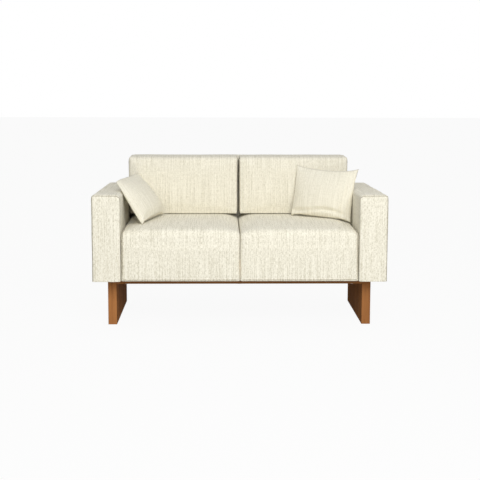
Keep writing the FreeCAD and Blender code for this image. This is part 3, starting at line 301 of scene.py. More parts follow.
def box_form(low, high):
    """A box between two corners."""
    form = bmesh.new()
    bmesh.ops.create_cube(form, size=1.0)
    bmesh.ops.scale(form, vec=high - low, verts=form.verts)
    bmesh.ops.translate(form, vec=(low + high) / 2, verts=form.verts)
    return form


def round_off(form, radius, picks, segments=5):
    """Rounds the edges that a test picks by the middle and the direction of each."""
    edges = [edge for edge in form.edges
             if picks((edge.verts[0].co + edge.verts[1].co) / 2,
                      (edge.verts[0].co - edge.verts[1].co).normalized())]
    bmesh.ops.bevel(form, geom=edges, offset=radius, offset_type="OFFSET", segments=segments,
                    profile=0.5, affect="EDGES", material=-1, clamp_overlap=True)


def put(name, form, material):
    """An object at the origin from a finished form."""
    mesh = bpy.data.meshes.new(name)
    form.to_mesh(mesh)
    form.free()
    piece = bpy.data.objects.new(name, mesh)
    bpy.context.collection.objects.link(piece)
    mesh.materials.append(material)
    mesh.shade_smooth()
    return piece


def settle_modifiers(piece):
    """Applies a piece's modifiers to its mesh."""
    shaped = piece.evaluated_get(bpy.context.evaluated_depsgraph_get())
    mesh = bpy.data.meshes.new_from_object(shaped)
    piece.modifiers.clear()
    piece.data = mesh
    mesh.shade_smooth()


def even_faces(piece, voxel):
    """Covers a closed form with even small faces."""
    remesh = piece.modifiers.new("even faces", "REMESH")
    remesh.mode = "VOXEL"
    remesh.voxel_size = voxel
    settle_modifiers(piece)


def finer(piece):
    """Divides every face once more and smooths the form."""
    smooth = piece.modifiers.new("finer", "SUBSURF")
    smooth.levels = smooth.render_levels = 1
    settle_modifiers(piece)


def unevenness(piece, height, length, seed):
    """Slow rises and hollows, as cloth over foam has."""
    mesh = piece.data
    normals = [vertex.normal.copy() for vertex in mesh.vertices]
    start = Vector((seed, 1.7 * seed, 2.3 * seed))
    for vertex, normal in zip(mesh.vertices, normals):
        vertex.co += normal * height * noise.noise(vertex.co / length + start)


def keep_within(piece, low, high):
    """Holds a piece inside the space between two corners."""
    for vertex in piece.data.vertices:
        vertex.co = Vector(min(max(value, least), most)
                           for value, least, most in zip(vertex.co, low, high))


SIDE_FACING = 0.72


def lay_cloth(piece):
    """Gives each face corner its place on the flat cloth: threads run up and to the rear."""
    mesh = piece.data
    layer = mesh.uv_layers.new(name="cloth")
    for face in mesh.polygons:
        sideways = abs(face.normal.x) > SIDE_FACING
        for corner in face.loop_indices:
            point = mesh.vertices[mesh.loops[corner].vertex_index].co
            layer.data[corner].uv = (point.y, point.z) if sideways else (point.x, point.z + point.y)


fabric = woven("slub linen", streaks=1.0, flecks=1.25)
# the groove's copy of the linen is painted dark, as painted shade for the shadow that falls into
# the fold
seam_shade = woven("slub linen painted with seam shade", streaks=0.5, flecks=0.5, light=(0.33, 0.29, 0.20, 1),
                   dark=(0.15, 0.13, 0.08, 1))
# across the seam and out of the cloth: a lip, the groove between the inner four, and a lip
SEAM_PROFILE = ((-0.0026, -0.0005), (-0.0014, 0.0007), (-0.0007, 0.0002), (0.0007, 0.0002),
                (0.0014, 0.0007), (0.0026, -0.0005))
SEAM_GROOVE = range(1, 5)
SEAM_STEP = 0.006


def route(corners, closed=False):
    """Even small steps along straight runs between corners."""
    points = []
    ends = list(corners) + ([corners[0]] if closed else [])
    for start, end in zip(ends, ends[1:]):
        start, end = Vector(start), Vector(end)
        steps = max(1, round((end - start).length / SEAM_STEP))
        points += [start.lerp(end, i / steps) for i in range(steps)]
    return points if closed else points + [Vector(ends[-1])]


def sew(name, piece, routes, body):
    """Seams laid on a piece's cloth: two low lips with a groove between them, its faces painted
    dark as seam shade.
    """
    tree = BVHTree.FromObject(piece, bpy.context.evaluated_depsgraph_get())
    form = bmesh.new()
    strand = {}
    for points, closed in routes:
        laid = [tree.find_nearest(point)[:2] for point in points]
        count = len(laid)
        first = last = None
        for i in range(count + (1 if closed else 0)):
            place, out = laid[i % count]
            before = laid[(i - 1) % count][0] if closed or i > 0 else place
            after = laid[(i + 1) % count][0] if closed or i < count - 1 else place
            aside = (after - before).normalized().cross(out).normalized()
            spots = [place + aside * across + out * rise for across, rise in SEAM_PROFILE]
            if last is None:
                row = first = [form.verts.new(spot) for spot in spots]
                edges = [form.edges.new(pair) for pair in zip(row, row[1:])]
            else:
                made = bmesh.ops.extrude_edge_only(form, edges=edges)["geom"]
                edges = [item for item in made if isinstance(item, bmesh.types.BMEdge)]
                row = [next(edge.other_vert(vertex) for edge in vertex.link_edges
                            if edge.other_vert(vertex) in made and edge not in edges)
                       for vertex in last]
                for vertex, spot in zip(row, spots):
                    vertex.co = spot
            strand.update({vertex: rank for rank, vertex in enumerate(row)})
            last = row
        # faces inside the groove take the second material, the painted seam shade
        for face in form.faces:
            if all(strand[vertex] in SEAM_GROOVE for vertex in face.verts):
                face.material_index = 1
        if closed:
            bmesh.ops.weld_verts(form, targetmap=dict(zip(last, first)))
    bmesh.ops.recalc_face_normals(form, faces=form.faces)
    seams = put(name, form, fabric)
    lay_cloth(seams)
    seams.data.materials.append(seam_shade)
    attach(seams, body)


ARM_BOTTOM, ARM_TOP_FALL, ARM_VOXEL = 0.233, 0.015, 0.008
ARM_INNER_ROUND, ARM_OUTER_ROUND, ARM_END_ROUND = 0.020, 0.016, 0.008
# a point this near to a face lies on it, and an edge runs along or across an axis by its share
NEAR, ALONG, ACROSS = 0.001, 0.9, 0.1


def arm_form(low, high, outward):
    """A boxy arm with a falling top and soft edges; outward is the side away from the seat."""
    form = box_form(low, high)
    for vertex in form.verts:
        if vertex.co.z > high.z - NEAR and vertex.co.y > high.y - NEAR:
            vertex.co.z -= ARM_TOP_FALL
    inner_x, outer_x = (low.x, high.x) if outward > 0 else (high.x, low.x)
    top = high.z - ARM_TOP_FALL
    round_off(form, ARM_INNER_ROUND, lambda m, d: m.z > top and abs(d.y) > ALONG
              and abs(m.x - inner_x) < NEAR)
    round_off(form, ARM_OUTER_ROUND, lambda m, d: m.z > top and abs(d.y) > ALONG
              and abs(m.x - outer_x) < NEAR)
    round_off(form, ARM_END_ROUND, lambda m, d: not low.y + NEAR < m.y < high.y - NEAR
              and abs(d.y) < ACROSS and m.z > low.z + NEAR, segments=4)
    return form


# the cloth ends this far above the frame; a form starts lower by the spare and is cut level
FOOT_GAP, HEM_SPARE = 0.001, 0.012
FOAM_RISE = 0.0012
for side, outward in (("left", -1), ("right", 1)):
    low, high = (Vector(corner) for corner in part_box(f"arm_cover_{side}"))
    low.z = ARM_BOTTOM + FOOT_GAP
    arm = put(f"arm_{side}", arm_form(low - Vector((0, 0, HEM_SPARE)), high, outward), fabric)
    even_faces(arm, ARM_VOXEL)
    finer(arm)
    unevenness(arm, FOAM_RISE, length=0.11, seed=3 + outward)
    keep_within(arm, low, high)
    lay_cloth(arm)
    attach(arm, "settee")
    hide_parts(f"arm_cover_{side}", f"arm_foam_{side}")
    inner, outer = (low.x, high.x) if outward > 0 else (high.x, low.x)
    over_inner, over_outer = inner + outward * 0.012, outer - outward * 0.004
    foot, front, rear = low.z + 0.002, low.y, high.y - 0.004
    front_seam = route([(inner, front + 0.020, foot), (inner, front + 0.018, high.z - 0.050),
                        (inner, front + 0.010, high.z - 0.022), (over_inner, front, high.z - 0.005),
                        (over_outer, front, high.z - 0.004), (over_outer, front, foot)])
    rear_seam = route([(inner, rear, foot), (inner, rear, high.z - 0.035),
                       (over_inner, rear, high.z - 0.016), (over_outer, rear, high.z - 0.016),
                       (outer, rear, high.z - 0.035), (outer, rear, foot)])
    sew(f"arm_seams_{side}", arm, [(front_seam, False), (rear_seam, False)], "settee")


# Seat. Two foam blocks on springs, each covered by one piece of linen that runs up the front,
# round a soft shoulder and back over the crowned top. The cloth is pulled down between the
# blocks and beside the arms, so each block falls away towards its ends.
def swell(piece, cap, held, frames=16, pressure=4.0, tension=12, bending=0.4):
    """Lets sewn cloth swell over its foam: no point moves further than the cap."""
    mesh = piece.data
    rest = [vertex.co.copy() for vertex in mesh.vertices]
    cloth = piece.modifiers.new("swell", "CLOTH")
    settings = cloth.settings
    settings.quality = 3
    settings.mass = 0.2
    settings.tension_stiffness = tension
    settings.compression_stiffness = tension
    settings.shear_stiffness = tension / 3
    settings.bending_stiffness = bending
    settings.use_pressure = True
    settings.uniform_pressure_force = pressure
    settings.effector_weights.gravity = 0
    cloth.collision_settings.use_collision = False
    group = piece.vertex_groups.new(name="held")
    group.add([i for i, point in enumerate(rest) if held(point)], 1.0, "REPLACE")
    settings.vertex_group_mass = "held"
    cloth.point_cache.frame_start = 1
    cloth.point_cache.frame_end = frames
    scene = bpy.context.scene
    for frame_number in range(1, frames + 1):
        scene.frame_set(frame_number)
    shaped = piece.evaluated_get(bpy.context.evaluated_depsgraph_get())
    moved = [vertex.co.copy() for vertex in shaped.data.vertices]
    piece.modifiers.clear()
    piece.vertex_groups.clear()
    scene.frame_set(1)
    for vertex, start, end in zip(mesh.vertices, rest, moved):
        move = end - start
        if move.length > cap:
            move *= cap / move.length
        vertex.co = start + move


SEAT_BOTTOM, SEAT_TOP, SEAT_VOXEL, SEAT_SWELL = 0.234, 0.4945, 0.009, 0.004
SEAT_FALL, SEAT_FALL_REACH, SEAT_RISE = 0.016, 0.125, 0.008
SEAT_SHOULDER, SEAT_END_ROUND = 0.036, 0.016
# the form runs past its ends by the spare and is cut flat there, so the gaps stay thin; at its
# front and rear it starts further in by the room, which the swell then fills
SEAT_SPARE, SWELL_ROOM = 0.003, 0.001
# the cloth is held this far up from its hem and in from its rear
SEAT_HELD_FOOT, SEAT_HELD_REAR = 0.03, 0.02


def seat_form(low, high):
    """A seat block with its rounded shoulder and ends."""
    form = box_form(low, high)
    round_off(form, SEAT_SHOULDER, lambda m, d: abs(d.x) > ALONG and m.z > high.z - NEAR
              and m.y < low.y + NEAR, segments=8)
    for end_x in (low.x, high.x):
        round_off(form, SEAT_END_ROUND, lambda m, d: abs(m.x - end_x) < NEAR
                  and m.z > low.z + NEAR and m.y < high.y - NEAR, segments=5)
    return form


def crown(piece, low, high):
    """Lowers the top towards both ends and the front."""
    depth = high.y - low.y - SEAT_SHOULDER
    for vertex in piece.data.vertices:
        share = min(1, max(0, (vertex.co.z - low.z) / (high.z - low.z)))
        gap = max(0, min(vertex.co.x - low.x, high.x - vertex.co.x))
        fall = SEAT_FALL * max(0, 1 - gap / SEAT_FALL_REACH) ** 2
        rise = SEAT_RISE * min(1, (high.y - vertex.co.y) / depth) ** 2
        vertex.co.z -= (fall + rise) * share ** 2


for side, outward in (("left", -1), ("right", 1)):
    low, high = (Vector(corner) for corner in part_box(f"seat_cover_{side}"))
    low.z, high.z = SEAT_BOTTOM + FOOT_GAP, SEAT_TOP
    start = low + Vector((-SEAT_SPARE, SWELL_ROOM, -HEM_SPARE))
    end = high + Vector((SEAT_SPARE, -SWELL_ROOM, -0.002))
    seat = put(f"seat_{side}", seat_form(start, end), fabric)
    even_faces(seat, SEAT_VOXEL)
    crown(seat, low, high)
    swell(seat, SEAT_SWELL, held=lambda point: point.z < low.z + SEAT_HELD_FOOT
          or point.y > high.y - SEAT_HELD_REAR)
    finer(seat)
    unevenness(seat, FOAM_RISE, length=0.13, seed=11 + outward)
    keep_within(seat, low, high)
    lay_cloth(seat)
    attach(seat, "settee")
    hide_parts(f"seat_cover_{side}", f"seat_foam_{side}")
    hem_z, top = low.z + 0.006, high.z - 0.010
    hem = route([(low.x + 0.008, low.y, hem_z), (high.x - 0.008, low.y, hem_z)])
    end_x = high.x - 0.003 if outward > 0 else low.x + 0.003
    end_seam = route([(end_x, low.y, low.z + 0.010), (end_x, low.y, high.z - 0.050),
                      (end_x, low.y + 0.012, high.z - 0.012), (end_x, low.y + 0.060, top),
                      (end_x, high.y - 0.020, top)])
    sew(f"seat_seams_{side}", seat, [(hem, False), (end_seam, False)], "settee")


# Fixed back. A webbed frame in foam and linen between the arms; its rear is pulled flat over
# a thin board, and its top is hidden in front by the loose cushions.
BACK_TOP_ROUND, BACK_SIDE_ROUND, BACK_VOXEL = 0.022, 0.009, 0.0095
low, high = (Vector(corner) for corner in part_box("back_cover"))
low.z = SEAT_BOTTOM + FOOT_GAP
form = box_form(low, high)
round_off(form, BACK_TOP_ROUND, lambda m, d: abs(d.x) > ALONG and m.z > high.z - NEAR, segments=6)
round_off(form, BACK_SIDE_ROUND, lambda m, d: abs(m.x) > high.x - NEAR and m.z > low.z + NEAR
          and m.y > low.y + NEAR, segments=4)
back = put("back_rest", form, fabric)
even_faces(back, BACK_VOXEL)
finer(back)
unevenness(back, FOAM_RISE, length=0.14, seed=21)
keep_within(back, low, high)
lay_cloth(back)
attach(back, "settee")
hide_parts("back_cover", "back_foam")
foot, shoulder = low.z + 0.002, high.z - 0.020
rear, over = high.y - 0.006, high.y - 0.008
rear_seam = route([(low.x, rear, foot), (low.x, rear, shoulder), (low.x + 0.020, over, high.z),
                   (high.x - 0.020, over, high.z), (high.x, rear, shoulder), (high.x, rear, foot)])
sew("back_rest_seams", back, [(rear_seam, False)], "settee")


# Back webbing. Eight elastic bands, woven lengthwise, are stapled from the bottom rail to the
# top rail of the back and carry its foam.
webbing_material = finish_material(
    "elastic webbing", cloudy_tone((0.10, 0.085, 0.06, 1), (0.30, 0.26, 0.19, 1), 700),
    noisy_roughness(0.75, 0.9, 500), noisy_height(1500), depth=0.0004)
WEBBING_BANDS, WEBBING_WIDTH, WEBBING_THICKNESS, WEBBING_INSET = 8, 0.050, 0.0009, 0.0011
WEBBING_RIB, WEBBING_RIB_STEP = 0.0003, 0.0125
low, high = (Vector(corner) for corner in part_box("back_webbing"))
band_step = (high.x - low.x - WEBBING_WIDTH) / (WEBBING_BANDS - 1)
form = bmesh.new()
for band in range(WEBBING_BANDS):
    made = bmesh.ops.create_grid(form, x_segments=10, y_segments=60, size=0.5)["verts"]
    bmesh.ops.scale(form, vec=(WEBBING_WIDTH, high.z - low.z, 1), verts=made)
    bmesh.ops.rotate(form, cent=(0, 0, 0), matrix=Matrix.Rotation(math.pi / 2, 3, "X"), verts=made)
    band_x = low.x + WEBBING_WIDTH / 2 + band * band_step
    bmesh.ops.translate(form, vec=(band_x, low.y + WEBBING_INSET, (low.z + high.z) / 2), verts=made)
for vertex in form.verts:
    vertex.co.y += WEBBING_RIB * math.sin(vertex.co.x * 2 * math.pi / WEBBING_RIB_STEP)
bmesh.ops.solidify(form, geom=form.faces[:], thickness=WEBBING_THICKNESS)
bmesh.ops.recalc_face_normals(form, faces=form.faces)
webbing = put("back_webbing_bands", form, webbing_material)
keep_within(webbing, low, high)
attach(webbing, "settee")
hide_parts("back_webbing")


# Deck felt. One sheet of needled grey felt lies loose on the springs, inside the beams, and
# keeps the wire off the foam.
felt_material = finish_material(
    "needled felt", cloudy_tone((0.16, 0.155, 0.15, 1), (0.42, 0.40, 0.38, 1), 420),
    noisy_roughness(0.88, 0.98, 300), noisy_height(700), depth=0.0008)
FELT_THICKNESS, FELT_RISE, FELT_CELLS = 0.0028, 0.0006, (112, 60)


def flat_sheet(name, low, high, cells, thickness, material):
    """A flat sheet of cloth between two corners, on a grid, with its thickness."""
    form = bmesh.new()
    bmesh.ops.create_grid(form, x_segments=cells[0], y_segments=cells[1], size=0.5)
    bmesh.ops.scale(form, vec=(high.x - low.x, high.y - low.y, 1), verts=form.verts)
    bmesh.ops.translate(form, vec=((low.x + high.x) / 2, (low.y + high.y) / 2,
                                   (low.z + high.z - thickness) / 2), verts=form.verts)
    sheet = put(name, form, material)
    solid = sheet.modifiers.new("thickness", "SOLIDIFY")
    solid.thickness, solid.offset = thickness, 1
    settle_modifiers(sheet)
    return sheet


low, high = (Vector(corner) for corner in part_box("deck_felt"))
felt = flat_sheet("deck_felt_sheet", low, high, FELT_CELLS, FELT_THICKNESS, felt_material)
unevenness(felt, FELT_RISE, length=0.05, seed=41)
keep_within(felt, low, high)
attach(felt, "settee")
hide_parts("deck_felt")


# Dust cover. A thin black non-woven cloth closes the frame from below; it is stretched over the
# rails, sags a little between them, and is held along its edges by wire staples.
dust_material = finish_material(
    "black non-woven cloth", cloudy_tone((0.010, 0.010, 0.011, 1), (0.045, 0.045, 0.048, 1), 600),
    noisy_roughness(0.78, 0.95, 350), noisy_height(900), depth=0.0003)
DUST_INSET, DUST_SAG, DUST_THICKNESS, DUST_CELLS = 0.009, 0.003, 0.0004, (120, 80)
low, high = (Vector(corner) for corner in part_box("dust_cover"))
low, high = low + Vector((DUST_INSET, DUST_INSET, 0)), high - Vector((DUST_INSET, DUST_INSET, 0))
front_rail_y, rear_rail_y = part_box("base_front_rail")[1][1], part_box("base_rear_rail")[0][1]
dust = flat_sheet("dust_cover_cloth", low, high, DUST_CELLS, DUST_THICKNESS, dust_material)
for vertex in dust.data.vertices:
    share_y = (vertex.co.y - front_rail_y) / (rear_rail_y - front_rail_y)
    share_x = (vertex.co.x - low.x) / (high.x - low.x)
    if 0 < share_y < 1:
        vertex.co.z -= DUST_SAG * math.sin(math.pi * share_y) * math.sin(math.pi * share_x) ** 0.5
STAPLE_INSET, STAPLE_EDGE = 0.007, 0.0002
LONG_MARGIN, LONG_COUNT, SHORT_MARGIN, SHORT_COUNT = 0.027, 19, 0.045, 12
# middle and size of a staple's crown and of its two legs
STAPLE_WIRES = (((0, 0, 0), (0.011, 0.0013, 0.0006)),
                ((-0.0049, 0, 0.003), (0.0012, 0.0013, 0.006)),
                ((0.0049, 0, 0.003), (0.0012, 0.0013, 0.006)))


def evenly(low, high, margin, count):
    """So many places between two ends, the outer ones a margin inside them."""
    return [low + margin + i * (high - low - 2 * margin) / (count - 1) for i in range(count)]


spots = [(x, y, 0) for y in (low.y + STAPLE_INSET, high.y - STAPLE_INSET)
         for x in evenly(low.x, high.x, LONG_MARGIN, LONG_COUNT)]
spots += [(x, y, 1) for x in (low.x + STAPLE_INSET, high.x - STAPLE_INSET)
          for y in evenly(low.y, high.y, SHORT_MARGIN, SHORT_COUNT)]
form = bmesh.new()
for x, y, turned in spots:
    turn = Matrix.Rotation(turned * math.pi / 2, 3, "Z")
    for middle, size in STAPLE_WIRES:
        made = bmesh.ops.create_cube(form, size=1.0)["verts"]
        bmesh.ops.scale(form, vec=size, verts=made)
        bmesh.ops.translate(form, vec=middle, verts=made)
        bmesh.ops.rotate(form, cent=(0, 0, 0), matrix=turn, verts=made)
        bmesh.ops.translate(form, vec=(x, y, low.z), verts=made)
bmesh.ops.bevel(form, geom=form.edges[:], offset=STAPLE_EDGE, offset_type="OFFSET", segments=1,
                profile=0.5, affect="EDGES", material=-1)
staples = put("dust_cover_staples", form, zinc)
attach(staples, "settee")
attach(dust, "settee")
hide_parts("dust_cover")


# Back cushions. Two loose boxed cushions of the same linen, filled with foam: upright slubs,
# a gentle swell at the front that falls back towards the seat, rounded ends that leave a V at
# the middle, and a coil zip low in the rear.
# the cushions' copy of the linen is painted a little darker all over, as painted shade
shaded_cushion_fabric = woven("slub linen of the cushions painted darker as shade", streaks=0.75, flecks=0.65,
                       light=(0.885, 0.846, 0.722, 1), dark=(0.540, 0.500, 0.372, 1))
zip_tape = finish_material(
    "zip tape", cloudy_tone((0.55, 0.51, 0.41, 1), (0.80, 0.76, 0.65, 1), 900),
    noisy_roughness(0.7, 0.9, 900), noisy_height(2500), depth=0.0002)
zip_coil = finish_material(
    "zip coil", cloudy_tone((0.62, 0.58, 0.47, 1), (0.82, 0.78, 0.68, 1), 300),
    noisy_roughness(0.3, 0.5, 600), noisy_height(2500), depth=0.00005)
COIL_PITCH, COIL_HALF, COIL_RISE, TAPE_GAP = 0.0018, 0.0017, 0.0008, 0.0006
TAPE_INDEX, COIL_INDEX, METAL_INDEX = 0, 1, 2


def zip_form(length, width):
    """A closed coil zip along X, its outside towards -Y: two tapes, coil, end stops and slider."""
    form = bmesh.new()

    def block(middle, size, round_by, index):
        made = bmesh.ops.create_cube(form, size=1.0)["verts"]
        bmesh.ops.scale(form, vec=size, verts=made)
        bmesh.ops.translate(form, vec=middle, verts=made)
        edges = list({edge for vertex in made for edge in vertex.link_edges})
        made = bmesh.ops.bevel(form, geom=edges, offset=round_by, offset_type="OFFSET", segments=2,
                               profile=0.5, affect="EDGES", material=-1)
        for face in {face for vertex in made["verts"] for face in vertex.link_faces}:
            face.material_index = index

    tape = width / 2 - TAPE_GAP
    for aside in (-1, 1):
        tape_z = aside * (TAPE_GAP + tape / 2)
        block((0, 0.0003, tape_z), (length, 0.0006, tape), 0.0002, TAPE_INDEX)
        block((-length / 2 + 0.0012, -0.0003, 0), (0.0020, 0.0014, 0.0040), 0.0004, METAL_INDEX)
    teeth = int((length - 0.006) / COIL_PITCH)
    for i in range(teeth):
        made = bmesh.ops.create_icosphere(form, subdivisions=1, radius=1.0)["verts"]
        bmesh.ops.scale(form, vec=(COIL_PITCH * 0.62, COIL_RISE, COIL_HALF), verts=made)
        bmesh.ops.translate(form, vec=(COIL_PITCH * (i - (teeth - 1) / 2), -0.0003, 0), verts=made)
        for face in {face for vertex in made for face in vertex.link_faces}:
            face.material_index = COIL_INDEX
    reach = length / 2 - 0.010
    block((reach, -0.0009, 0), (0.0090, 0.0013, 0.0058), 0.0005, METAL_INDEX)
    block((reach + 0.0042, -0.0009, 0), (0.0035, 0.0012, 0.0036), 0.0005, METAL_INDEX)
    block((reach - 0.0095, -0.0012, 0), (0.0150, 0.0006, 0.0036), 0.00025, METAL_INDEX)
    bmesh.ops.recalc_face_normals(form, faces=form.faces)
    return form


def put_zip(name, form):
    """A zip's object, with its tape, coil and metal in their own materials."""
    piece = put(name, form, zip_tape)
    piece.data.materials.append(zip_coil)
    piece.data.materials.append(zinc)
    return piece


CUSHION_FRONT, CUSHION_CROWN, CUSHION_UNDERCUT = 0.0936, 0.0075, 0.009
CUSHION_FRONT_ROUND, CUSHION_ROUND = 0.016, 0.010
CUSHION_VOXEL, CUSHION_SWELL, CUSHION_HELD_REAR = 0.008, 0.003, 0.01


def cushion_form(low, high):
    """A boxed cushion with round edges, softest at the top and outer edges of its front."""
    form = box_form(low, high)
    front, outer, top = low.y + NEAR, max(abs(low.x), abs(high.x)) - NEAR, high.z - NEAR

    def soft(middle):
        return middle.y < front and (abs(middle.x) > outer or middle.z > top)

    round_off(form, CUSHION_FRONT_ROUND, lambda m, d: soft(m), segments=6)
    round_off(form, CUSHION_ROUND, lambda m, d: not soft(m), segments=4)
    return form


def crown_front(piece, low, high):
    """Swells the front half of a cushion, and draws it back towards its lower edge."""
    middle = (low + high) / 2
    half = (high.x - low.x) / 2
    for vertex in piece.data.vertices:
        if vertex.co.y < middle.y:
            across = 1 - abs((vertex.co.x - middle.x) / half) ** 3
            height = 2 * (vertex.co.z - middle.z) / (high.z - low.z)
            upward = 1 - abs(height) ** 3
            vertex.co.y -= CUSHION_CROWN * max(0, across) * max(0, upward)
            vertex.co.y += CUSHION_UNDERCUT * max(0, -height) ** 1.6


# a recess takes in points this near to the rear, this far past the zip's ends and its edges,
# and presses them this far in from the zip
RECESS_NEAR, RECESS_ENDS, RECESS_EDGES, RECESS_GAP = 0.006, 0.003, 0.002, 0.0006


def recess(piece, rear, low, high):
    """Presses the rear of a cushion in behind its zip."""
    for vertex in piece.data.vertices:
        if (vertex.co.y > rear - RECESS_NEAR
                and low.x - RECESS_ENDS < vertex.co.x < high.x + RECESS_ENDS
                and low.z - RECESS_EDGES < vertex.co.z < high.z + RECESS_EDGES):
            vertex.co.y = min(vertex.co.y, low.y - RECESS_GAP)


for side in ("left", "right"):
    low, high = (Vector(corner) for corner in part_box(f"back_cushion_cover_{side}"))
    zip_low, zip_high = (Vector(corner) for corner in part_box(f"back_cushion_zip_{side}"))
    start = Vector((low.x + 0.0003, CUSHION_FRONT + SWELL_ROOM, low.z + 0.0005))
    end = Vector((high.x - 0.0003, high.y - SWELL_ROOM, high.z - 0.0005))
    cushion = put(f"back_cushion_{side}", cushion_form(start, end), shaded_cushion_fabric)
    even_faces(cushion, CUSHION_VOXEL)
    crown_front(cushion, low, high)
    swell(cushion, CUSHION_SWELL, held=lambda point: point.y > high.y - CUSHION_HELD_REAR)
    finer(cushion)
    unevenness(cushion, FOAM_RISE, length=0.12, seed=31 + ((low + high) / 2).x)
    keep_within(cushion, low, high)
    recess(cushion, high.y, zip_low, zip_high)
    lay_cloth(cushion)
    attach(cushion, f"back_cushion_{side}")
    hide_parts(f"back_cushion_cover_{side}", f"back_cushion_foam_{side}")
    corner = CUSHION_ROUND
    rear_ring = [(low.x + corner, low.z), (high.x - corner, low.z), (high.x, low.z + corner),
                 (high.x, high.z - corner), (high.x - corner, high.z), (low.x + corner, high.z),
                 (low.x, high.z - corner), (low.x, low.z + corner)]
    rings = [route([(x, high.y - 0.003, z) for x, z in rear_ring], closed=True)]
    front, rear, under, top = CUSHION_FRONT + 0.010, high.y - 0.008, low.z + 0.009, high.z - 0.009
    rings += [route([(x, front, under), (x, rear, under), (x, rear, top), (x, front, top)],
                    closed=True) for x in (low.x, high.x)]
    sew(f"back_cushion_seams_{side}", cushion, [(ring, True) for ring in rings],
        f"back_cushion_{side}")
    form = zip_form(zip_high.x - zip_low.x, zip_high.z - zip_low.z)
    bmesh.ops.rotate(form, cent=(0, 0, 0), matrix=Matrix.Rotation(math.pi, 3, "Z"),
                     verts=form.verts)
    bmesh.ops.translate(form, vec=((zip_low.x + zip_high.x) / 2, zip_low.y + 0.0006,
                                   (zip_low.z + zip_high.z) / 2), verts=form.verts)
    cushion_zip = put_zip(f"back_cushion_zipper_{side}", form)
    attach(cushion_zip, f"back_cushion_{side}")
    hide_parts(f"back_cushion_zip_{side}")


# Throw pillows. Two oblong pillows of the same cloth: two panels sewn edge to edge and filled
# with loose fibre, so they have thin pointed ears, drawn-in sides and a full middle. A short
# coil zip closes the bottom edge.
pillow_fabric = woven("slub linen of the pillows", streaks=0.5, flecks=0.38)
PILLOW_WIDTH, PILLOW_HEIGHT, PILLOW_DRAW, PILLOW_SAG = 0.332, 0.254, 0.011, 0.27
PILLOW_ZIP_LENGTH, PILLOW_ZIP_WIDTH, PILLOW_SWELL = 0.200, 0.006, 0.005
# the cloth is held this far up from its zip and this far to each side of the middle
ZIP_HOLD_HEIGHT, ZIP_HOLD_REACH = 0.016, 0.104
# side: place, (yaw, lean, roll), depth to the front and to the rear, curve of the puff
PILLOW_POSES = {
    "left": ((-0.4906, -0.0838, 0.6020), (73.5, 32.3, 1.8), (0.060, 0.044), 0.50),
    "right": ((0.4270, -0.0165, 0.6122), (-30.0, 9.0, -2.5), (0.052, 0.036), 0.40),
}
# side: dents in the front panel as (across, place, reach, depth), across 0 for u and 1 for v
PILLOW_DENTS = {
    "left": [(1, 0.62, 0.10, 0.0025)],
    "right": [(1, -0.72, 0.10, 0.0095), (0, 0.84, 0.08, 0.0060)],
}
# side: how far the two upper ears reach out, as (across, up) for the left and the right ear
PILLOW_EARS = {
    "left": ((0.000, -0.013), (0.000, -0.006)),
    "right": ((0.000, 0.008), (0.010, 0.016)),
}


def pillow_panel(form, depth, curve, ears, dents=()):
    """One panel of a pillow: a fine grid with drawn-in sides and ears, puffed out to a depth."""
    made = bmesh.ops.create_grid(form, x_segments=92, y_segments=70, size=1.0)
    zip_share = PILLOW_ZIP_LENGTH / PILLOW_WIDTH
    for vertex in made["verts"]:
        u, v = vertex.co.x, vertex.co.y
        draw_x = (1 - v * v) * abs(u)
        draw_z = (1 - u * u) * abs(v)
        if v < 0:
            past_zip = max(0, abs(u) - zip_share) / (1 - zip_share)
            draw_z = (1 - past_zip ** 2) * abs(v)
        sunk = v + PILLOW_SAG * (1 - v * v)
        puff = depth * max(0, (1 - u * u) * (1 - sunk * sunk)) ** curve
        for across, spot, reach, dent in dents:
            along, other = (u, v) if across == 0 else (v, u)
            bent = spot + 0.06 * math.sin(3.1 * other + 0.6) - 0.05 * other ** 2
            fade = max(0, 1 - other ** 4) * (0.75 + 0.35 * math.sin(5.3 * other))
            puff += dent * fade * math.exp(-((along - bent) / reach) ** 2)
        out, up = ears[0] if u < 0 else ears[1]
        ear = (abs(u) * max(0, v)) ** 4
        vertex.co = Vector((u * (PILLOW_WIDTH / 2 - draw_x * PILLOW_DRAW + out * ear), puff,
                            v * (PILLOW_HEIGHT / 2 - draw_z * PILLOW_DRAW + up * ear)))


def by_zip(point):
    """Whether a point of a pillow is sewn to its zip."""
    return point.z < -PILLOW_HEIGHT / 2 + ZIP_HOLD_HEIGHT and abs(point.x) < ZIP_HOLD_REACH


for side, (place, (yaw, lean, roll), (front, rear), curve) in PILLOW_POSES.items():
    form = bmesh.new()
    pillow_panel(form, -front, curve, PILLOW_EARS[side], PILLOW_DENTS[side])
    pillow_panel(form, rear, curve, PILLOW_EARS[side])
    bmesh.ops.remove_doubles(form, verts=form.verts, dist=0.00002)
    bmesh.ops.recalc_face_normals(form, faces=form.faces)
    pillow = put(f"throw_pillow_{side}", form, pillow_fabric)
    lay_cloth(pillow)
    swell(pillow, PILLOW_SWELL, frames=12, pressure=5.0, tension=22, bending=0.05, held=by_zip)
    form = zip_form(PILLOW_ZIP_LENGTH, PILLOW_ZIP_WIDTH)
    bmesh.ops.rotate(form, cent=(0, 0, 0), matrix=Matrix.Rotation(math.pi / 2, 3, "X"),
                     verts=form.verts)
    bmesh.ops.translate(form, vec=(0, 0, -PILLOW_HEIGHT / 2 + PILLOW_DRAW - 0.0007),
                        verts=form.verts)
    pillow_zip = put_zip(f"throw_pillow_zipper_{side}", form)
    turn = (Matrix.Rotation(math.radians(yaw), 4, "Z")
            @ Matrix.Rotation(math.radians(-lean), 4, "X")
            @ Matrix.Rotation(math.radians(-roll), 4, "Y"))
    for piece in (pillow, pillow_zip):
        piece.data.transform(Matrix.Translation(place) @ turn)
        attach(piece, f"throw_pillow_{side}")
    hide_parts(f"throw_pillow_cover_{side}", f"throw_pillow_fill_{side}")
    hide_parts(f"throw_pillow_zip_{side}")


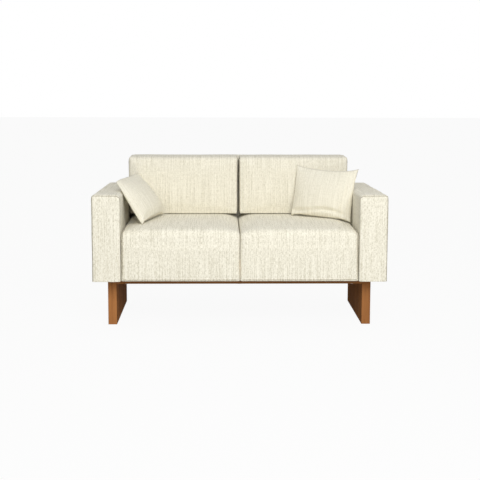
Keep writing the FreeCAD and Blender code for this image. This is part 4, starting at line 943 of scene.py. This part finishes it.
# Stage: a pale floor and world, a wide soft lamp in front, and the camera of the photograph.
# The world shows white to the camera and to glossy and clear surfaces, and so does the floor,
# but for a thin share of its own shade that keeps the settee's shadow.
FLOOR_PALE, FLOOR_WHITE_SHARE, FLOOR_REACH = (0.55, 0.55, 0.54, 1), 0.94, 30.0
WORLD_LIGHT, LAMP_SIZE, LAMP_WATTS = 0.45, 3.6, 236
LAMP_PLACE, LAMP_AIM = (0.5, -5.0, 3.05), (0, 0, 0.45)
# the photograph's size and focal length in pixels, and the camera's angles in degrees
PHOTO_SIZE, PHOTO_FOCAL = 480, 1040.9
CAMERA_PLACE = (-0.1018, -5.2406, 1.1711)
CAMERA_YAW, CAMERA_PITCH, CAMERA_ROLL, CAMERA_SHIFT = -1.187, 7.049, 0.141, -0.06


def whitened(tree, lit, white):
    """Shows one shader to light and another to the camera and to reflections."""
    path = add(tree, "ShaderNodeLightPath")
    seen = path.outputs["Is Camera Ray"]
    for ray in ("Is Glossy Ray", "Is Transmission Ray"):
        seen = add(tree, "ShaderNodeMath", [(0, seen), (1, path.outputs[ray])],
                   operation="MAXIMUM").outputs[0]
    return add(tree, "ShaderNodeMixShader", [(0, seen), (1, lit), (2, white)]).outputs[0]


world = bpy.data.worlds.new("studio")
bpy.context.scene.world = world
world.use_nodes = True
tree = world.node_tree
lit = add(tree, "ShaderNodeBackground", [("Color", (1, 1, 1, 1)), ("Strength", WORLD_LIGHT)])
white = add(tree, "ShaderNodeBackground", [("Color", (1, 1, 1, 1)), ("Strength", 1.0)])
tree.links.new(whitened(tree, lit.outputs[0], white.outputs[0]),
               tree.nodes["World Output"].inputs["Surface"])

form = bmesh.new()
bmesh.ops.create_grid(form, x_segments=1, y_segments=1, size=FLOOR_REACH)
floor_material = bpy.data.materials.new("pale floor")
floor_material.use_nodes = True
tree = floor_material.node_tree
tree.nodes.remove(tree.nodes["Principled BSDF"])
pale = add(tree, "ShaderNodeBsdfDiffuse", [("Color", FLOOR_PALE)])
glow = add(tree, "ShaderNodeEmission", [("Color", (1, 1, 1, 1)), ("Strength", 1.0)])
veiled = add(tree, "ShaderNodeMixShader", [(0, FLOOR_WHITE_SHARE), (1, pale.outputs[0]),
                                           (2, glow.outputs[0])])
tree.links.new(whitened(tree, pale.outputs[0], veiled.outputs[0]),
               tree.nodes["Material Output"].inputs["Surface"])
floor = put("floor", form, floor_material)

lamp_data = bpy.data.lights.new("front lamp", "AREA")
lamp_data.shape = "DISK"
lamp_data.size = LAMP_SIZE
lamp_data.energy = LAMP_WATTS
lamp = bpy.data.objects.new("front lamp", lamp_data)
lamp.location = LAMP_PLACE
aim = Vector(LAMP_AIM) - lamp.location
lamp.rotation_euler = aim.to_track_quat("-Z", "Y").to_euler()
lamp.visible_camera = False
bpy.context.collection.objects.link(lamp)

camera_data = bpy.data.cameras.new("camera")
camera_data.sensor_width = 36
camera_data.lens = PHOTO_FOCAL / PHOTO_SIZE * camera_data.sensor_width
camera_data.shift_y = CAMERA_SHIFT
camera = bpy.data.objects.new("camera", camera_data)
camera.location = CAMERA_PLACE
camera.rotation_euler = (Matrix.Rotation(math.radians(CAMERA_YAW), 3, "Z")
                         @ Matrix.Rotation(math.radians(90 - CAMERA_PITCH), 3, "X")
                         @ Matrix.Rotation(math.radians(CAMERA_ROLL), 3, "Z")).to_euler()
bpy.context.collection.objects.link(camera)
bpy.context.scene.camera = camera
bpy.context.scene.view_settings.view_transform = "Standard"
